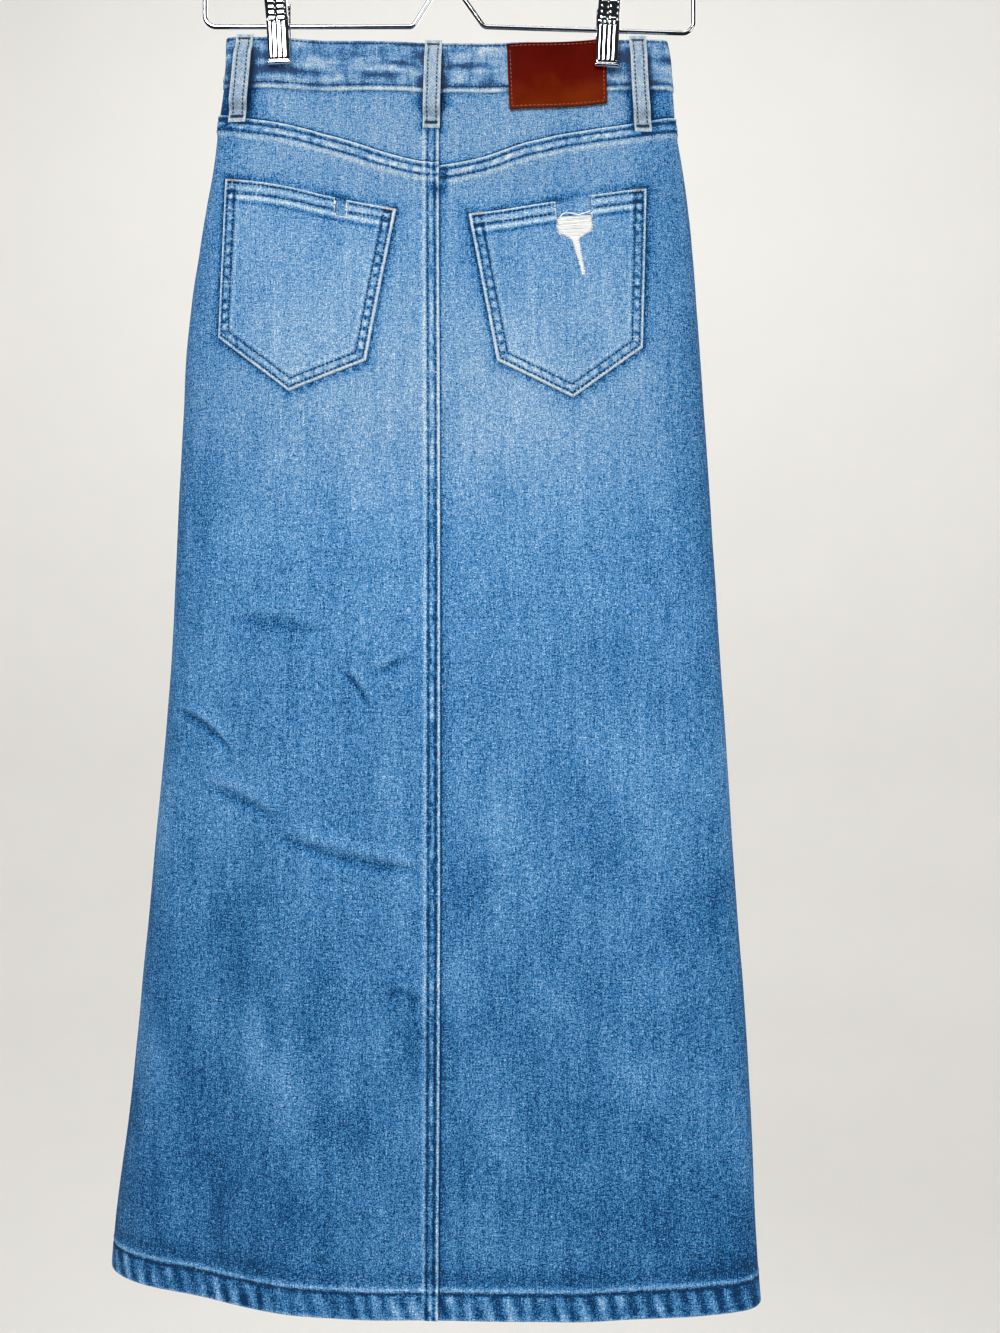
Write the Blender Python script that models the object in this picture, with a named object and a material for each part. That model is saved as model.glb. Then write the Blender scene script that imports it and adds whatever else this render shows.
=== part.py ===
"""Long denim skirt hung by its waistband from two sprung clips on a chrome wire hanger.

Metres, +Z up. The origin is the inside of the hook's top, where a rail carries the hanger. The
skirt's back faces -Y, and "left" is the wearer's left, at -X.

A place on the cloth has a girth, its distance round the skirt from the centre back seam and
growing towards +X, a drop, its distance below the waist's top edge, and a lift, its height off
the cloth's outer face. The centre front is half a girth away from the centre back.
"""

import math
from collections import namedtuple

import bmesh
import bpy
import numpy as np
from mathutils import Vector

for item in list(bpy.data.objects):
    bpy.data.objects.remove(item, do_unlink=True)

MM = 0.001
SHARP_ANGLE = 40

# Cloth
WALL = 1.5 * MM
SEAM_GAP = 0.3 * MM
LAY_GAP = 0.45 * MM
WAIST_Z = -133.5 * MM
HEM_HEIGHT = 20 * MM
HEM_WALL = 3 * MM
BACK_SHARE = 0.53
EVEN_ANGLES = 181
FACING_ANGLES = 145
YOKE_STEPS = (0, 0.25, 0.5, 0.75, 1)
PANEL_ROWS = 18
PANEL_LENGTH = 835 * MM
FRONT_MIDDLE = 60 * MM
BACK_STEPS = (0, 0.11, 0.22, 0.33, 0.44, 0.55, 0.65, 0.74, 0.81, 0.86, 0.89, 0.92, 0.945, 0.97, 1)
FRONT_STEPS = (0, 0.03, 0.06, 0.1, 0.15, 0.23, 0.33, 0.44, 0.55, 0.66, 0.77, 0.88, 1)

# Waistband
BAND_HEIGHT = 37.5 * MM
BAND_WALL = 3 * MM
BAND_PROUD = 0.75 * MM
BAND_LAP = 8 * MM
BAND_UNDERLAP = 32 * MM
BAND_STEP = 16 * MM
BAND_CHORD = 18 * MM
BAND_TURN = 0.2
BAND_TAIL_COLUMNS = 9

# Where the clips squeeze the back against the front
CLIP_X = (-123.4 * MM, 117.1 * MM)
PINCH_HALF = BAND_WALL - BAND_PROUD + SEAM_GAP / 2
PINCH_FLAT = 11 * MM
PINCH_FADE = 60 * MM
PINCH_TOP = 22 * MM
PINCH_END = 135 * MM

# Back pockets and belt loops
POCKET_WALL = 1.5 * MM
POCKET_COLUMNS = 8
POCKET_ROWS = 8
LOOP_WIDTH = 12.4 * MM
LOOP_WALL = 1.6 * MM
LOOP_BOW = 0.4 * MM
LOOP_COLUMNS = 3
LOOP_TACK = 8 * MM
LOOP_BEND = 8 * MM

# Leather patch
PATCH_WALL = 1.6 * MM
PATCH_COLUMNS = 8
PATCH_ROWS = 4

# Closure at the centre front
FLY_TOP = BAND_HEIGHT + SEAM_GAP
FLY_LENGTH = 150 * MM
FLY_ROWS = 8
ZIP_WALL = 1 * MM
ZIP_EDGES = (-4 * MM, 6.5 * MM, 16.5 * MM, 27 * MM)
SHIELD_WALL = 1.5 * MM
SHIELD_EDGES = (-12 * MM, 0, 12 * MM, 24 * MM, 34 * MM)
ZIP_DEPTH = 3.6 * MM
SLIDER_WIDTH = 9.4 * MM
SLIDER_WALL = 3.2 * MM
SLIDER_HEIGHT = 11 * MM
PULL_WIDTH = 6 * MM
PULL_WALL = 1.2 * MM
PULL_LENGTH = 24 * MM
BUTTON_PROFILE = ((0, 0), (7.6, 0), (8.5, 0.7), (8.4, 1.7), (7.6, 2.7), (6.4, 3.2), (5.6, 2.9), (0, 3.1))
SLIDER_NOTCH = {(0, 1)}

# Hanger
WIRE_RADIUS = 1.65 * MM
BAR_Z = -125 * MM
BAR_FALL = 5 * MM
SIDE_LEFT_X = -177.2 * MM
SIDE_RIGHT_X = 179.8 * MM
SHOULDER_Z = -96 * MM
NOTCH_LEFT_X = -25.2 * MM
NOTCH_RIGHT_X = 26.7 * MM
NOTCH_TOP_X = -1 * MM
NOTCH_TOP_Z = -86 * MM
SHOULDER_RADIUS = 10 * MM
CORNER_RADIUS = 8 * MM
NOTCH_RADIUS = 5 * MM
TWIN_X = 1.95 * MM
TWIN_DROP = 5 * MM
TWIN_RADIUS = 3 * MM
HOOK_RADIUS = 1.9 * MM
HOOK_INSIDE = 21 * MM
HOOK_NECK = 6 * MM
HOOK_START_Z = -53 * MM
HOOK_END_ANGLE = 212
FERRULE_PROFILE = ((0, 0), (3.6, 0), (4.6, 1), (4.6, 12), (3.6, 13), (0, 13))
ROD_RESOLUTION = 2
TURNED_STEPS = 20
ARC_STEP = 15

# Clips, whose jaws close on the waistband's faces
JAW = PINCH_HALF + BAND_PROUD + LAY_GAP
CLIP_WIDTH = 17.6 * MM
CLIP_WALL = 1.2 * MM
CLIP_LIP = 1.6 * MM
SPRING_PROFILE = ((2.05, -6), (3, -6), (3, 6), (2.05, 6))

# One row for each level of the skirt, in millimetres: the two side folds, the radius of those
# folds, how far the back and the front swell between them, how much of the back's swell leans to
# the left, how far the left fold hangs behind the right one, and the centre back seam's place.
Section = namedtuple("Section", "drop left right edge back front lean swing seam")
SECTIONS = (
    Section(0, -160.8, 160.3, 4.6, 5.5, 6.0, 0.00, 0.0, -10.3),
    Section(37, -163.5, 164.8, 5.0, 8.5, 8.0, 0.00, 0.4, -10.3),
    Section(62, -167.2, 166.4, 5.8, 11.0, 10.0, 0.00, 1.1, -10.3),
    Section(92, -170.9, 171.0, 6.8, 14.0, 12.0, 0.00, 2.0, -10.2),
    Section(122, -176.5, 174.8, 8.0, 17.0, 14.5, 0.03, 3.2, -10.0),
    Section(157, -182.3, 178.1, 9.5, 20.5, 17.0, 0.06, 4.6, -9.7),
    Section(202, -189.0, 181.2, 11.0, 24.0, 20.0, 0.10, 6.3, -9.3),
    Section(272, -194.3, 185.6, 12.0, 26.5, 22.0, 0.15, 8.8, -8.8),
    Section(362, -199.6, 191.3, 13.0, 28.0, 23.0, 0.20, 11.9, -8.5),
    Section(472, -206.6, 198.0, 14.0, 29.0, 23.0, 0.25, 15.8, -8.4),
    Section(592, -218.4, 204.9, 15.0, 30.0, 23.0, 0.29, 20.0, -8.3),
    Section(692, -228.6, 211.6, 15.5, 31.5, 23.5, 0.33, 23.5, -8.4),
    Section(792, -239.6, 216.6, 16.0, 33.0, 24.0, 0.36, 27.0, -8.8),
    Section(862, -249.2, 219.6, 16.0, 34.0, 24.5, 0.38, 29.3, -9.2),
    Section(915, -254.6, 223.1, 16.0, 34.0, 25.0, 0.38, 31.0, -9.4),
)

# How far the waistband sags between and beside the clips, in millimetres.
Dip = namedtuple("Dip", "x fall")
WAIST_DIPS = (
    Dip(-175, 1.5),
    Dip(-145, 0.0),
    Dip(-123, 0.0),
    Dip(-85, 4.0),
    Dip(-40, 6.5),
    Dip(10, 8.0),
    Dip(60, 6.5),
    Dip(100, 3.5),
    Dip(117, 2.5),
    Dip(145, 2.0),
    Dip(175, 4.0),
)
SAG_HOLD = 50 * MM
SAG_FADE = 250 * MM

# The long soft folds, in millimetres. A negative depth is a hollow, and face is -1 on the back.
Flute = namedtuple("Flute", "face x_high x_low start end depth width")
FLUTES = (
    Flute(-1, -150, -178, 300, 915, -3.0, 30),
    Flute(-1, -95, -118, 360, 915, 2.2, 34),
    Flute(-1, 118, 134, 330, 915, -3.0, 32),
    Flute(1, -70, -96, 260, 915, -5.0, 34),
    Flute(1, 78, 104, 300, 915, -4.5, 30),
    Flute(1, 8, 4, 420, 915, 3.0, 36),
)

# The yoke seam's drop in millimetres, from the centre back (share 0) to the side seam (share 1).
YokeSeam = namedtuple("YokeSeam", "share left right")
YOKE_SEAM = (
    YokeSeam(0.00, 98.0, 100.5),
    YokeSeam(0.18, 91.0, 94.0),
    YokeSeam(0.32, 82.5, 85.5),
    YokeSeam(0.43, 77.0, 80.0),
    YokeSeam(0.61, 70.5, 73.6),
    YokeSeam(0.79, 65.5, 70.0),
    YokeSeam(1.00, 57.0, 63.0),
)

# The hem's drop in millimetres, across the same share.
Hem = namedtuple("Hem", "share left right")
HEM = (
    Hem(0.00, 913.0, 913.0),
    Hem(0.25, 915.0, 912.0),
    Hem(0.50, 912.0, 911.5),
    Hem(0.80, 908.5, 906.5),
    Hem(1.00, 908.0, 906.0),
)

# Corners on the cloth as (girth, drop) in millimetres, each list from the upper left and going
# clockwise as the back is seen. A pocket's fourth corner is its bottom point.
POCKET_CORNERS = {
    "left": ((-151.0, 105.2), (-25.4, 128.2), (-47.0, 243.0), (-102.7, 264.2), (-156.2, 223.2)),
    "right": ((25.9, 131.3), (153.8, 114.7), (148.7, 233.4), (98.6, 270.0), (45.2, 243.4)),
}
PATCH_CORNERS = ((53.6, 2.2), (126.6, -0.4), (127.6, 47.4), (55.4, 51.8))

# Belt loops, in millimetres: the girth of the top and of the bottom end, the drop of both ends,
# and how far the loop stands off the cloth.
Loop = namedtuple("Loop", "name girth_high girth_low top bottom stand")
LOOPS = (
    Loop("belt_loop_back_left", -137.4, -143.9, -1.0, 63.2, 5.8),
    Loop("belt_loop_back", 0.8, -0.7, -1.0, 65.0, 6.0),
    Loop("belt_loop_back_right", 149.5, 153.6, -1.5, 70.0, 6.2),
    Loop("belt_loop_front_left", -252.0, -268.0, -1.0, 64.0, 7.6),
    Loop("belt_loop_front_right", 252.0, 268.0, -1.0, 64.0, 7.8),
)

# A clip plate's inner face, in millimetres: its height above the bar and its distance from the
# clip's middle plane. A grip row takes the jaw's own distance instead.
Bend = namedtuple("Bend", "height away grip")
CLIP_BENDS = (
    Bend(22.0, 11.6, False),
    Bend(15.0, 9.0, False),
    Bend(8.0, 5.6, False),
    Bend(3.0, 3.8, False),
    Bend(-1.0, 3.6, False),
    Bend(-5.0, 3.6, True),
    Bend(-22.0, 3.6, True),
    Bend(-25.8, 3.6, True),
)


# Materials


def principled(name, colour, roughness, metallic=0.0):
    """Material with one even colour."""
    material = bpy.data.materials.new(name)
    material.use_nodes = True
    shader = material.node_tree.nodes["Principled BSDF"]
    shader.inputs["Base Color"].default_value = (*colour, 1)
    shader.inputs["Roughness"].default_value = roughness
    shader.inputs["Metallic"].default_value = metallic
    return material


DENIM = principled("washed_denim", (0.17, 0.33, 0.58), 0.85)
PALE_DENIM = principled("pale_denim", (0.33, 0.49, 0.68), 0.85)
LEATHER = principled("brown_leather", (0.27, 0.07, 0.025), 0.5)
CHROME = principled("chrome", (0.8, 0.8, 0.82), 0.12, 1.0)
BRASS = principled("old_brass", (0.42, 0.27, 0.12), 0.35, 1.0)


# The cloth's form


def ease(t):
    """Smooth step from 0 to 1 as t goes from 0 to 1."""
    t = np.clip(t, 0.0, 1.0)
    return t * t * (3 - 2 * t)


def smooth(table, column, key, place):
    """Value at a place, in the table's own units, of the smooth curve through one of its columns."""
    places = np.array([getattr(row, key) for row in table], dtype=float)
    values = np.array([getattr(row, column) for row in table], dtype=float)
    slopes = np.gradient(values, places)
    place = np.clip(place, places[0], places[-1])
    row = np.clip(np.searchsorted(places, place) - 1, 0, len(places) - 2)
    span = places[row + 1] - places[row]
    t = (place - places[row]) / span
    leaving = values[row] + slopes[row] * span * t
    arriving = values[row + 1] - slopes[row + 1] * span * (1 - t)
    return leaving + (arriving - leaving) * ease(t)


def section_at(drop):
    """The section's sizes at a drop; all but the lean in metres."""
    sizes = {field: smooth(SECTIONS, field, "drop", drop / MM) * MM for field in Section._fields[1:]}
    sizes["lean"] /= MM
    return Section(drop, **sizes)


def sag_at(x, drop):
    """How far the cloth hangs below its level place."""
    fall = smooth(WAIST_DIPS, "fall", "x", np.asarray(x) / MM) * MM
    return fall * (1 - ease((drop - SAG_HOLD) / SAG_FADE))


def flute_push(flute, x, centre, drop):
    """How far one long fold pushes the cloth out, at places across it."""
    along = (drop / MM - flute.start) / (flute.end - flute.start)
    middle = (flute.x_high + (flute.x_low - flute.x_high) * along) * MM - centre
    across = np.exp(-(((x - middle) / (flute.width * MM)) ** 2))
    return across * ease(2 * along) * flute.depth * MM


def pinch_at(x, drop):
    """How much the clips squeeze the cloth, from 0 to 1."""
    away = np.min([np.abs(x - clip) for clip in CLIP_X], axis=0)
    across = 1 - ease((away - PINCH_FLAT) / PINCH_FADE)
    return across * (1 - ease((drop - PINCH_TOP) / (PINCH_END - PINCH_TOP)))


Outline = namedtuple("Outline", "girth x y out_x out_y total")
OUTLINES = {}


def trace_outline(drop):
    """Closed outline of the cloth's outer face at a drop, from the centre front round by the left."""
    row = section_at(drop)
    half = (row.right - row.left) / 2 - row.edge
    centre = (row.right + row.left) / 2
    even = np.linspace(-math.pi, math.pi, EVEN_ANGLES)
    facing = np.linspace(-math.pi, math.pi, FACING_ANGLES)
    turned = np.arctan2(half * np.sin(facing), (row.back + row.front) / 2 * np.cos(facing))
    angles = np.unique(np.round(np.concatenate([even, turned]), 7))[:-1]
    sine, cosine = np.sin(angles), np.cos(angles)
    on_back = cosine > 0
    swell = np.where(on_back, row.back, row.front)
    lean = np.where(on_back, row.lean, 0.0)
    x = half * sine
    y = -swell * cosine * (1 - lean * sine)
    run_x = half * cosine
    run_y = swell * sine * (1 - lean * sine) + swell * lean * cosine**2
    run = np.hypot(run_x, run_y)
    x = x + row.edge * run_y / run
    y = y - row.edge * run_x / run
    side = np.where(on_back, -1, 1)
    for flute in FLUTES:
        if drop / MM > flute.start:
            y = y + np.where(side == flute.face, side * flute_push(flute, x, centre, drop), 0)
    squeezed = np.sign(y) * (PINCH_HALF + (np.abs(y) - PINCH_HALF) * (1 - pinch_at(x + centre, drop)))
    y = np.where(np.abs(y) > PINCH_HALF, squeezed, y)
    y = y - row.swing * x / half
    x = x + centre
    steps = np.hypot(np.roll(x, -1) - x, np.roll(y, -1) - y)
    girth = np.concatenate([[0], np.cumsum(steps)[:-1]])
    girth = girth - np.interp(row.seam, x[on_back], girth[on_back])
    along_x = np.roll(x, -1) - np.roll(x, 1)
    along_y = np.roll(y, -1) - np.roll(y, 1)
    along = np.hypot(along_x, along_y)
    return Outline(girth, x, y, along_y / along, -along_x / along, steps.sum())


def outline_at(drop):
    """The outline at a drop, traced once for each level."""
    level = round(float(drop), 6)
    if level not in OUTLINES:
        OUTLINES[level] = trace_outline(level)
    return OUTLINES[level]


def cloth_point(girth, drop, lift=0.0):
    """World position of a place on the cloth."""
    outline = outline_at(drop)
    x, y, out_x, out_y = (
        np.interp(girth, outline.girth, column, period=outline.total)
        for column in (outline.x, outline.y, outline.out_x, outline.out_y)
    )
    return Vector((x + out_x * lift, y + out_y * lift, WAIST_Z - drop - sag_at(x, drop)))


def cloth_facing(girth, drop):
    """Direction that the cloth's outer face looks in."""
    along = cloth_point(girth + MM, drop) - cloth_point(girth - MM, drop)
    down = cloth_point(girth, drop + MM) - cloth_point(girth, drop - MM)
    return down.cross(along).normalized()


def half_girth(drop):
    """Girth from the centre back to the centre front."""
    return outline_at(drop).total / 2


def hem_drop(side, share):
    """The hem's drop at a share of the way from the centre to the side."""
    return smooth(HEM, side, "share", share) * MM


def seam_drop(side, share):
    """The yoke seam's drop at a share of the way from the centre back to the side seam."""
    return smooth(YOKE_SEAM, side, "share", share) * MM


# Making objects


def finish(name, mesh_maker, material):
    """Object made from a bmesh, with its material."""
    mesh = bpy.data.meshes.new(name)
    mesh_maker.to_mesh(mesh)
    mesh_maker.free()
    mesh.materials.append(material)
    made = bpy.data.objects.new(name, mesh)
    bpy.context.scene.collection.objects.link(made)
    return made


def round_off(made):
    """Shades an object smooth up to its sharp edges."""
    made.data.shade_smooth()
    made.data.set_sharp_from_angle(angle=math.radians(SHARP_ANGLE))


def wall(name, outer, inner, material, left_out=()):
    """Closed wall between two grids of points that match, less the cells left out."""
    sheet = bmesh.new()
    inside = sheet.verts.layers.float_vector.new("inside")
    grid = []
    for outer_row, inner_row in zip(outer, inner):
        corners = []
        for place, inner_place in zip(outer_row, inner_row):
            corner = sheet.verts.new(place)
            corner[inside] = inner_place
            corners.append(corner)
        grid.append(corners)
    for row, (upper, lower) in enumerate(zip(grid, grid[1:])):
        for column in range(len(upper) - 1):
            if (row, column) not in left_out:
                sheet.faces.new((upper[column], lower[column], lower[column + 1], upper[column + 1]))
    extruded = bmesh.ops.extrude_face_region(sheet, geom=sheet.faces[:])
    for item in extruded["geom"]:
        if isinstance(item, bmesh.types.BMVert):
            item.co = item[inside]
    bmesh.ops.recalc_face_normals(sheet, faces=sheet.faces)
    round_off(finish(name, sheet, material))


def cloth_wall(name, places, lift, thickness, material):
    """Wall over a grid of (girth, drop) places, its outer face at one lift."""
    outer = [[cloth_point(girth, drop, lift) for girth, drop in row] for row in places]
    inner = [[cloth_point(girth, drop, lift - thickness) for girth, drop in row] for row in places]
    wall(name, outer, inner, material)


def turned(name, profile, material):
    """Solid of revolution about its own Z, from a profile of (radius, height) pairs in millimetres."""
    lathe = bmesh.new()
    corners = [lathe.verts.new((radius * MM, 0, height * MM)) for radius, height in profile]
    pairs = list(zip(corners, corners[1:]))
    if profile[0][0] > 0:
        pairs.append((corners[-1], corners[0]))
    edges = [lathe.edges.new(pair) for pair in pairs]
    bmesh.ops.spin(
        lathe,
        geom=corners + edges,
        cent=(0, 0, 0),
        axis=(0, 0, 1),
        angle=2 * math.pi,
        steps=TURNED_STEPS,
        use_merge=True,
    )
    bmesh.ops.remove_doubles(lathe, verts=lathe.verts, dist=1e-6)
    bmesh.ops.recalc_face_normals(lathe, faces=lathe.faces)
    made = finish(name, lathe, material)
    round_off(made)
    return made


def rod(name, path, radius, material):
    """Round rod along a list of points."""
    curve = bpy.data.curves.new(name, "CURVE")
    curve.dimensions = "3D"
    curve.bevel_depth = radius
    curve.bevel_resolution = ROD_RESOLUTION
    curve.use_fill_caps = True
    curve.render_resolution_u = 0
    spline = curve.splines.new("POLY")
    spline.points.add(len(path) - 1)
    for point, place in zip(spline.points, path):
        point.co = (*place, 1)
    curve.materials.append(material)
    made = bpy.data.objects.new(name, curve)
    bpy.context.scene.collection.objects.link(made)
    return made


# The skirt


def panel_places(steps, rows, near, far, top, bottom):
    """Grid of (girth, drop) places between two edges, each a girth at a drop, and two ends."""
    places = []
    for row in rows:
        line = []
        for share in steps:
            drop = top(share) + (bottom(share) - top(share)) * row
            line.append((near(drop) + (far(drop) - near(drop)) * share, drop))
        places.append(line)
    return places


def long_panel(name, places):
    """Panel that reaches the hem, with the turned-up hem's thickness at its end."""
    outer = [[cloth_point(girth, drop) for girth, drop in row] for row in places]
    walls = [WALL] * (len(places) - 2) + [HEM_WALL] * 2
    inner = []
    for row, thickness in zip(places, walls):
        inner.append([cloth_point(girth, drop, -thickness) for girth, drop in row])
    wall(name, outer, inner, DENIM)


def panel_rows():
    """Shares of a long panel's length for its rows, with two of them at the hem's upper edge."""
    hem = 1 - HEM_HEIGHT / PANEL_LENGTH
    fold = hem - WALL / PANEL_LENGTH
    return [fold * row / PANEL_ROWS for row in range(PANEL_ROWS + 1)] + [hem, 1]


def build_skirt_side(side, sign):
    """Yoke, back panel and front panel of one side."""

    def centre_back(drop):
        return sign * SEAM_GAP / 2

    def side_back(drop):
        return sign * (BACK_SHARE * half_girth(drop) - SEAM_GAP / 2)

    def side_front(drop):
        return sign * (BACK_SHARE * half_girth(drop) + SEAM_GAP / 2)

    def centre_front(drop):
        return sign * (half_girth(drop) - SEAM_GAP / 2)

    def waist(share):
        return FLY_TOP

    def yoke_bottom(share):
        return seam_drop(side, share) - SEAM_GAP / 2

    def back_top(share):
        return seam_drop(side, share) + SEAM_GAP / 2

    def back_bottom(share):
        return hem_drop(side, share)

    def front_middle(share):
        return seam_drop(side, 1) * (1 - share) + FRONT_MIDDLE * share

    def front_bottom(share):
        return hem_drop(side, 1 - share)

    rows = panel_rows()
    yoke = panel_places(BACK_STEPS, YOKE_STEPS, centre_back, side_back, waist, yoke_bottom)
    back = panel_places(BACK_STEPS, rows, centre_back, side_back, back_top, back_bottom)
    front = panel_places(FRONT_STEPS, YOKE_STEPS[:-1], side_front, centre_front, waist, front_middle)
    front += panel_places(FRONT_STEPS, rows, side_front, centre_front, front_middle, front_bottom)
    cloth_wall(f"yoke_{side}", yoke, 0, WALL, DENIM)
    long_panel(f"back_{side}", back)
    long_panel(f"front_{side}", front)


def band_girths():
    """Girths of the waistband's columns, closer together where it bends."""
    outline = outline_at(BAND_HEIGHT / 2)
    heading = np.unwrap(np.arctan2(outline.out_y, outline.out_x))
    turning = np.concatenate([[0], np.cumsum(np.abs(np.diff(heading)))])
    pace = (outline.girth - outline.girth[0]) / BAND_CHORD + turning / BAND_TURN
    return np.interp(np.arange(1, pace[-1]), pace, outline.girth)


def build_waistband():
    """Doubled strip whose right end runs in behind its left end at the centre front."""
    half = half_girth(BAND_HEIGHT / 2)
    step = half - BAND_LAP - BAND_STEP
    body = [girth for girth in band_girths() if BAND_LAP - half < girth < step - BAND_LAP]
    tail = np.linspace(step, half + BAND_UNDERLAP, BAND_TAIL_COLUMNS)
    outer, inner = [], []
    for drop in (0, BAND_HEIGHT / 2, BAND_HEIGHT):
        outer_row, inner_row = [], []
        for girth in (-half - BAND_LAP, -half, *body, *tail):
            behind = ease((girth - step) / (BAND_STEP - SEAM_GAP))
            lift = BAND_PROUD - behind * (BAND_WALL + LAY_GAP)
            here = girth / half * half_girth(drop)
            outer_row.append(cloth_point(here, drop, lift))
            inner_row.append(cloth_point(here, drop, lift - BAND_WALL))
        outer.append(outer_row)
        inner.append(inner_row)
    wall("waistband", outer, inner, DENIM)


def quarter(corners, across, down):
    """Place inside four (girth, drop) corners at two shares."""
    top_left, top_right, low_right, low_left = corners
    return top_left.lerp(top_right, across).lerp(low_left.lerp(low_right, across), down)


def build_pocket(side):
    """Five-sided patch pocket laid on a back panel."""
    top_left, top_right, low_right, tip, low_left = (Vector(corner) * MM for corner in POCKET_CORNERS[side])
    left_edge = (tip - low_left).length
    top_middle = top_left.lerp(top_right, left_edge / (left_edge + (low_right - tip).length))
    halves = ((top_left, top_middle, tip, low_left), (top_middle, top_right, low_right, tip))
    shares = np.linspace(0, 1, POCKET_COLUMNS // 2 + 1)
    places = []
    for down in np.linspace(0, 1, POCKET_ROWS + 1):
        line = [quarter(halves[0], share, down) for share in shares]
        line += [quarter(halves[1], share, down) for share in shares[1:]]
        places.append(line)
    cloth_wall(f"pocket_{side}", places, LAY_GAP + POCKET_WALL, POCKET_WALL, DENIM)


def build_patch():
    """Bare leather patch across the waistband's lower edge."""
    corners = [Vector(corner) * MM for corner in PATCH_CORNERS]
    places = []
    for down in np.linspace(0, 1, PATCH_ROWS + 1):
        places.append([quarter(corners, across, down) for across in np.linspace(0, 1, PATCH_COLUMNS + 1)])
    cloth_wall("patch", places, BAND_PROUD + LAY_GAP + PATCH_WALL, PATCH_WALL, LEATHER)


def build_belt_loop(loop):
    """Flat loop, tacked at its two ends and bowed out between them."""
    top, bottom, stand = loop.top * MM, loop.bottom * MM, loop.stand * MM
    on_band = BAND_PROUD + LAY_GAP
    stations = (
        (top, on_band),
        (top + LOOP_TACK, on_band),
        (top + LOOP_TACK + LOOP_BEND / 2, (on_band + stand) / 2),
        (top + LOOP_TACK + LOOP_BEND, stand),
        ((top + bottom) / 2, stand + LOOP_BOW),
        (bottom - LOOP_TACK - LOOP_BEND, stand),
        (bottom - LOOP_TACK - LOOP_BEND / 2, (LAY_GAP + stand) / 2),
        (bottom - LOOP_TACK, LAY_GAP),
        (bottom, LAY_GAP),
    )
    outer, inner = [], []
    for index, (drop, lift) in enumerate(stations):
        before = stations[max(index - 1, 0)]
        after = stations[min(index + 1, len(stations) - 1)]
        run, rise = after[0] - before[0], after[1] - before[1]
        length = math.hypot(run, rise)
        outer_drop = drop - LOOP_WALL * rise / length
        outer_lift = lift + LOOP_WALL * run / length
        middle = loop.girth_high + (loop.girth_low - loop.girth_high) * (drop - top) / (bottom - top)
        girths = [middle * MM + LOOP_WIDTH * share for share in np.linspace(-0.5, 0.5, LOOP_COLUMNS + 1)]
        outer.append([cloth_point(girth, outer_drop, outer_lift) for girth in girths])
        inner.append([cloth_point(girth, drop, lift) for girth in girths])
    wall(loop.name, outer, inner, PALE_DENIM)


# The closure behind the centre front


def from_front(edge, drop):
    """Girth of a place measured from the centre front, growing towards the wearer's left."""
    return edge - half_girth(drop)


def build_closure():
    """Zip behind the closed centre front, its slider, the shield behind both, and the waist button."""
    top = FLY_TOP + SEAM_GAP
    drops = [top + FLY_LENGTH * row / FLY_ROWS for row in range(FLY_ROWS + 1)]
    tape = -WALL - LAY_GAP
    lifts = (tape, -ZIP_DEPTH, -ZIP_DEPTH, tape)
    outer, inner = [], []
    for drop in drops:
        edges = list(zip(ZIP_EDGES, lifts))
        outer.append([cloth_point(from_front(edge, drop), drop, lift) for edge, lift in edges])
        inner.append([cloth_point(from_front(edge, drop), drop, lift - ZIP_WALL) for edge, lift in edges])
    wall("zip", outer, inner, BRASS, SLIDER_NOTCH)

    places = [[(from_front(edge, drop), drop) for edge in SHIELD_EDGES] for drop in drops]
    cloth_wall("fly_shield", places, tape - SLIDER_WALL - LAY_GAP, SHIELD_WALL, DENIM)

    middle = (ZIP_EDGES[1] + ZIP_EDGES[2]) / 2
    neck = drops[1] - SEAM_GAP
    stations = (
        (neck - SLIDER_HEIGHT, SLIDER_WIDTH, SLIDER_WALL),
        (neck - SEAM_GAP, SLIDER_WIDTH, SLIDER_WALL),
        (neck, PULL_WIDTH, PULL_WALL),
        (neck + PULL_LENGTH, PULL_WIDTH, PULL_WALL),
    )
    outer, inner = [], []
    for drop, width, thickness in stations:
        girths = [from_front(middle + side * width / 2, drop) for side in (-1, 1)]
        outer.append([cloth_point(girth, drop, tape) for girth in girths])
        inner.append([cloth_point(girth, drop, tape - thickness) for girth in girths])
    wall("zip_slider", outer, inner, BRASS)

    button = turned("waist_button", BUTTON_PROFILE, BRASS)
    drop = BAND_HEIGHT / 2
    place = from_front(0, drop)
    button.location = cloth_point(place, drop, BAND_PROUD + LAY_GAP)
    button.rotation_euler = cloth_facing(place, drop).to_track_quat("Z", "Y").to_euler()


# The hanger


def rounded(corners, radii):
    """Points of a path through corners, each inner one rounded to its radius."""
    path = [corners[0]]
    for before, corner, after, radius in zip(corners, corners[1:], corners[2:], radii):
        back, on = (before - corner).normalized(), (after - corner).normalized()
        opening = back.angle(on)
        centre = corner + (back + on).normalized() * radius / math.sin(opening / 2)
        start = corner + back * radius / math.tan(opening / 2) - centre
        end = corner + on * radius / math.tan(opening / 2) - centre
        steps = math.ceil(math.degrees(math.pi - opening) / ARC_STEP)
        path += [centre + start.slerp(end, step / steps).normalized() * radius for step in range(steps + 1)]
    return path + [corners[-1]]


def arc(centre, radius, start, end):
    """Points of an arc in the XZ plane between two angles in degrees."""
    steps = math.ceil(abs(end - start) / ARC_STEP)
    angles = [math.radians(start + (end - start) * step / steps) for step in range(steps + 1)]
    return [centre + Vector((math.cos(angle), 0, math.sin(angle))) * radius for angle in angles]


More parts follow.
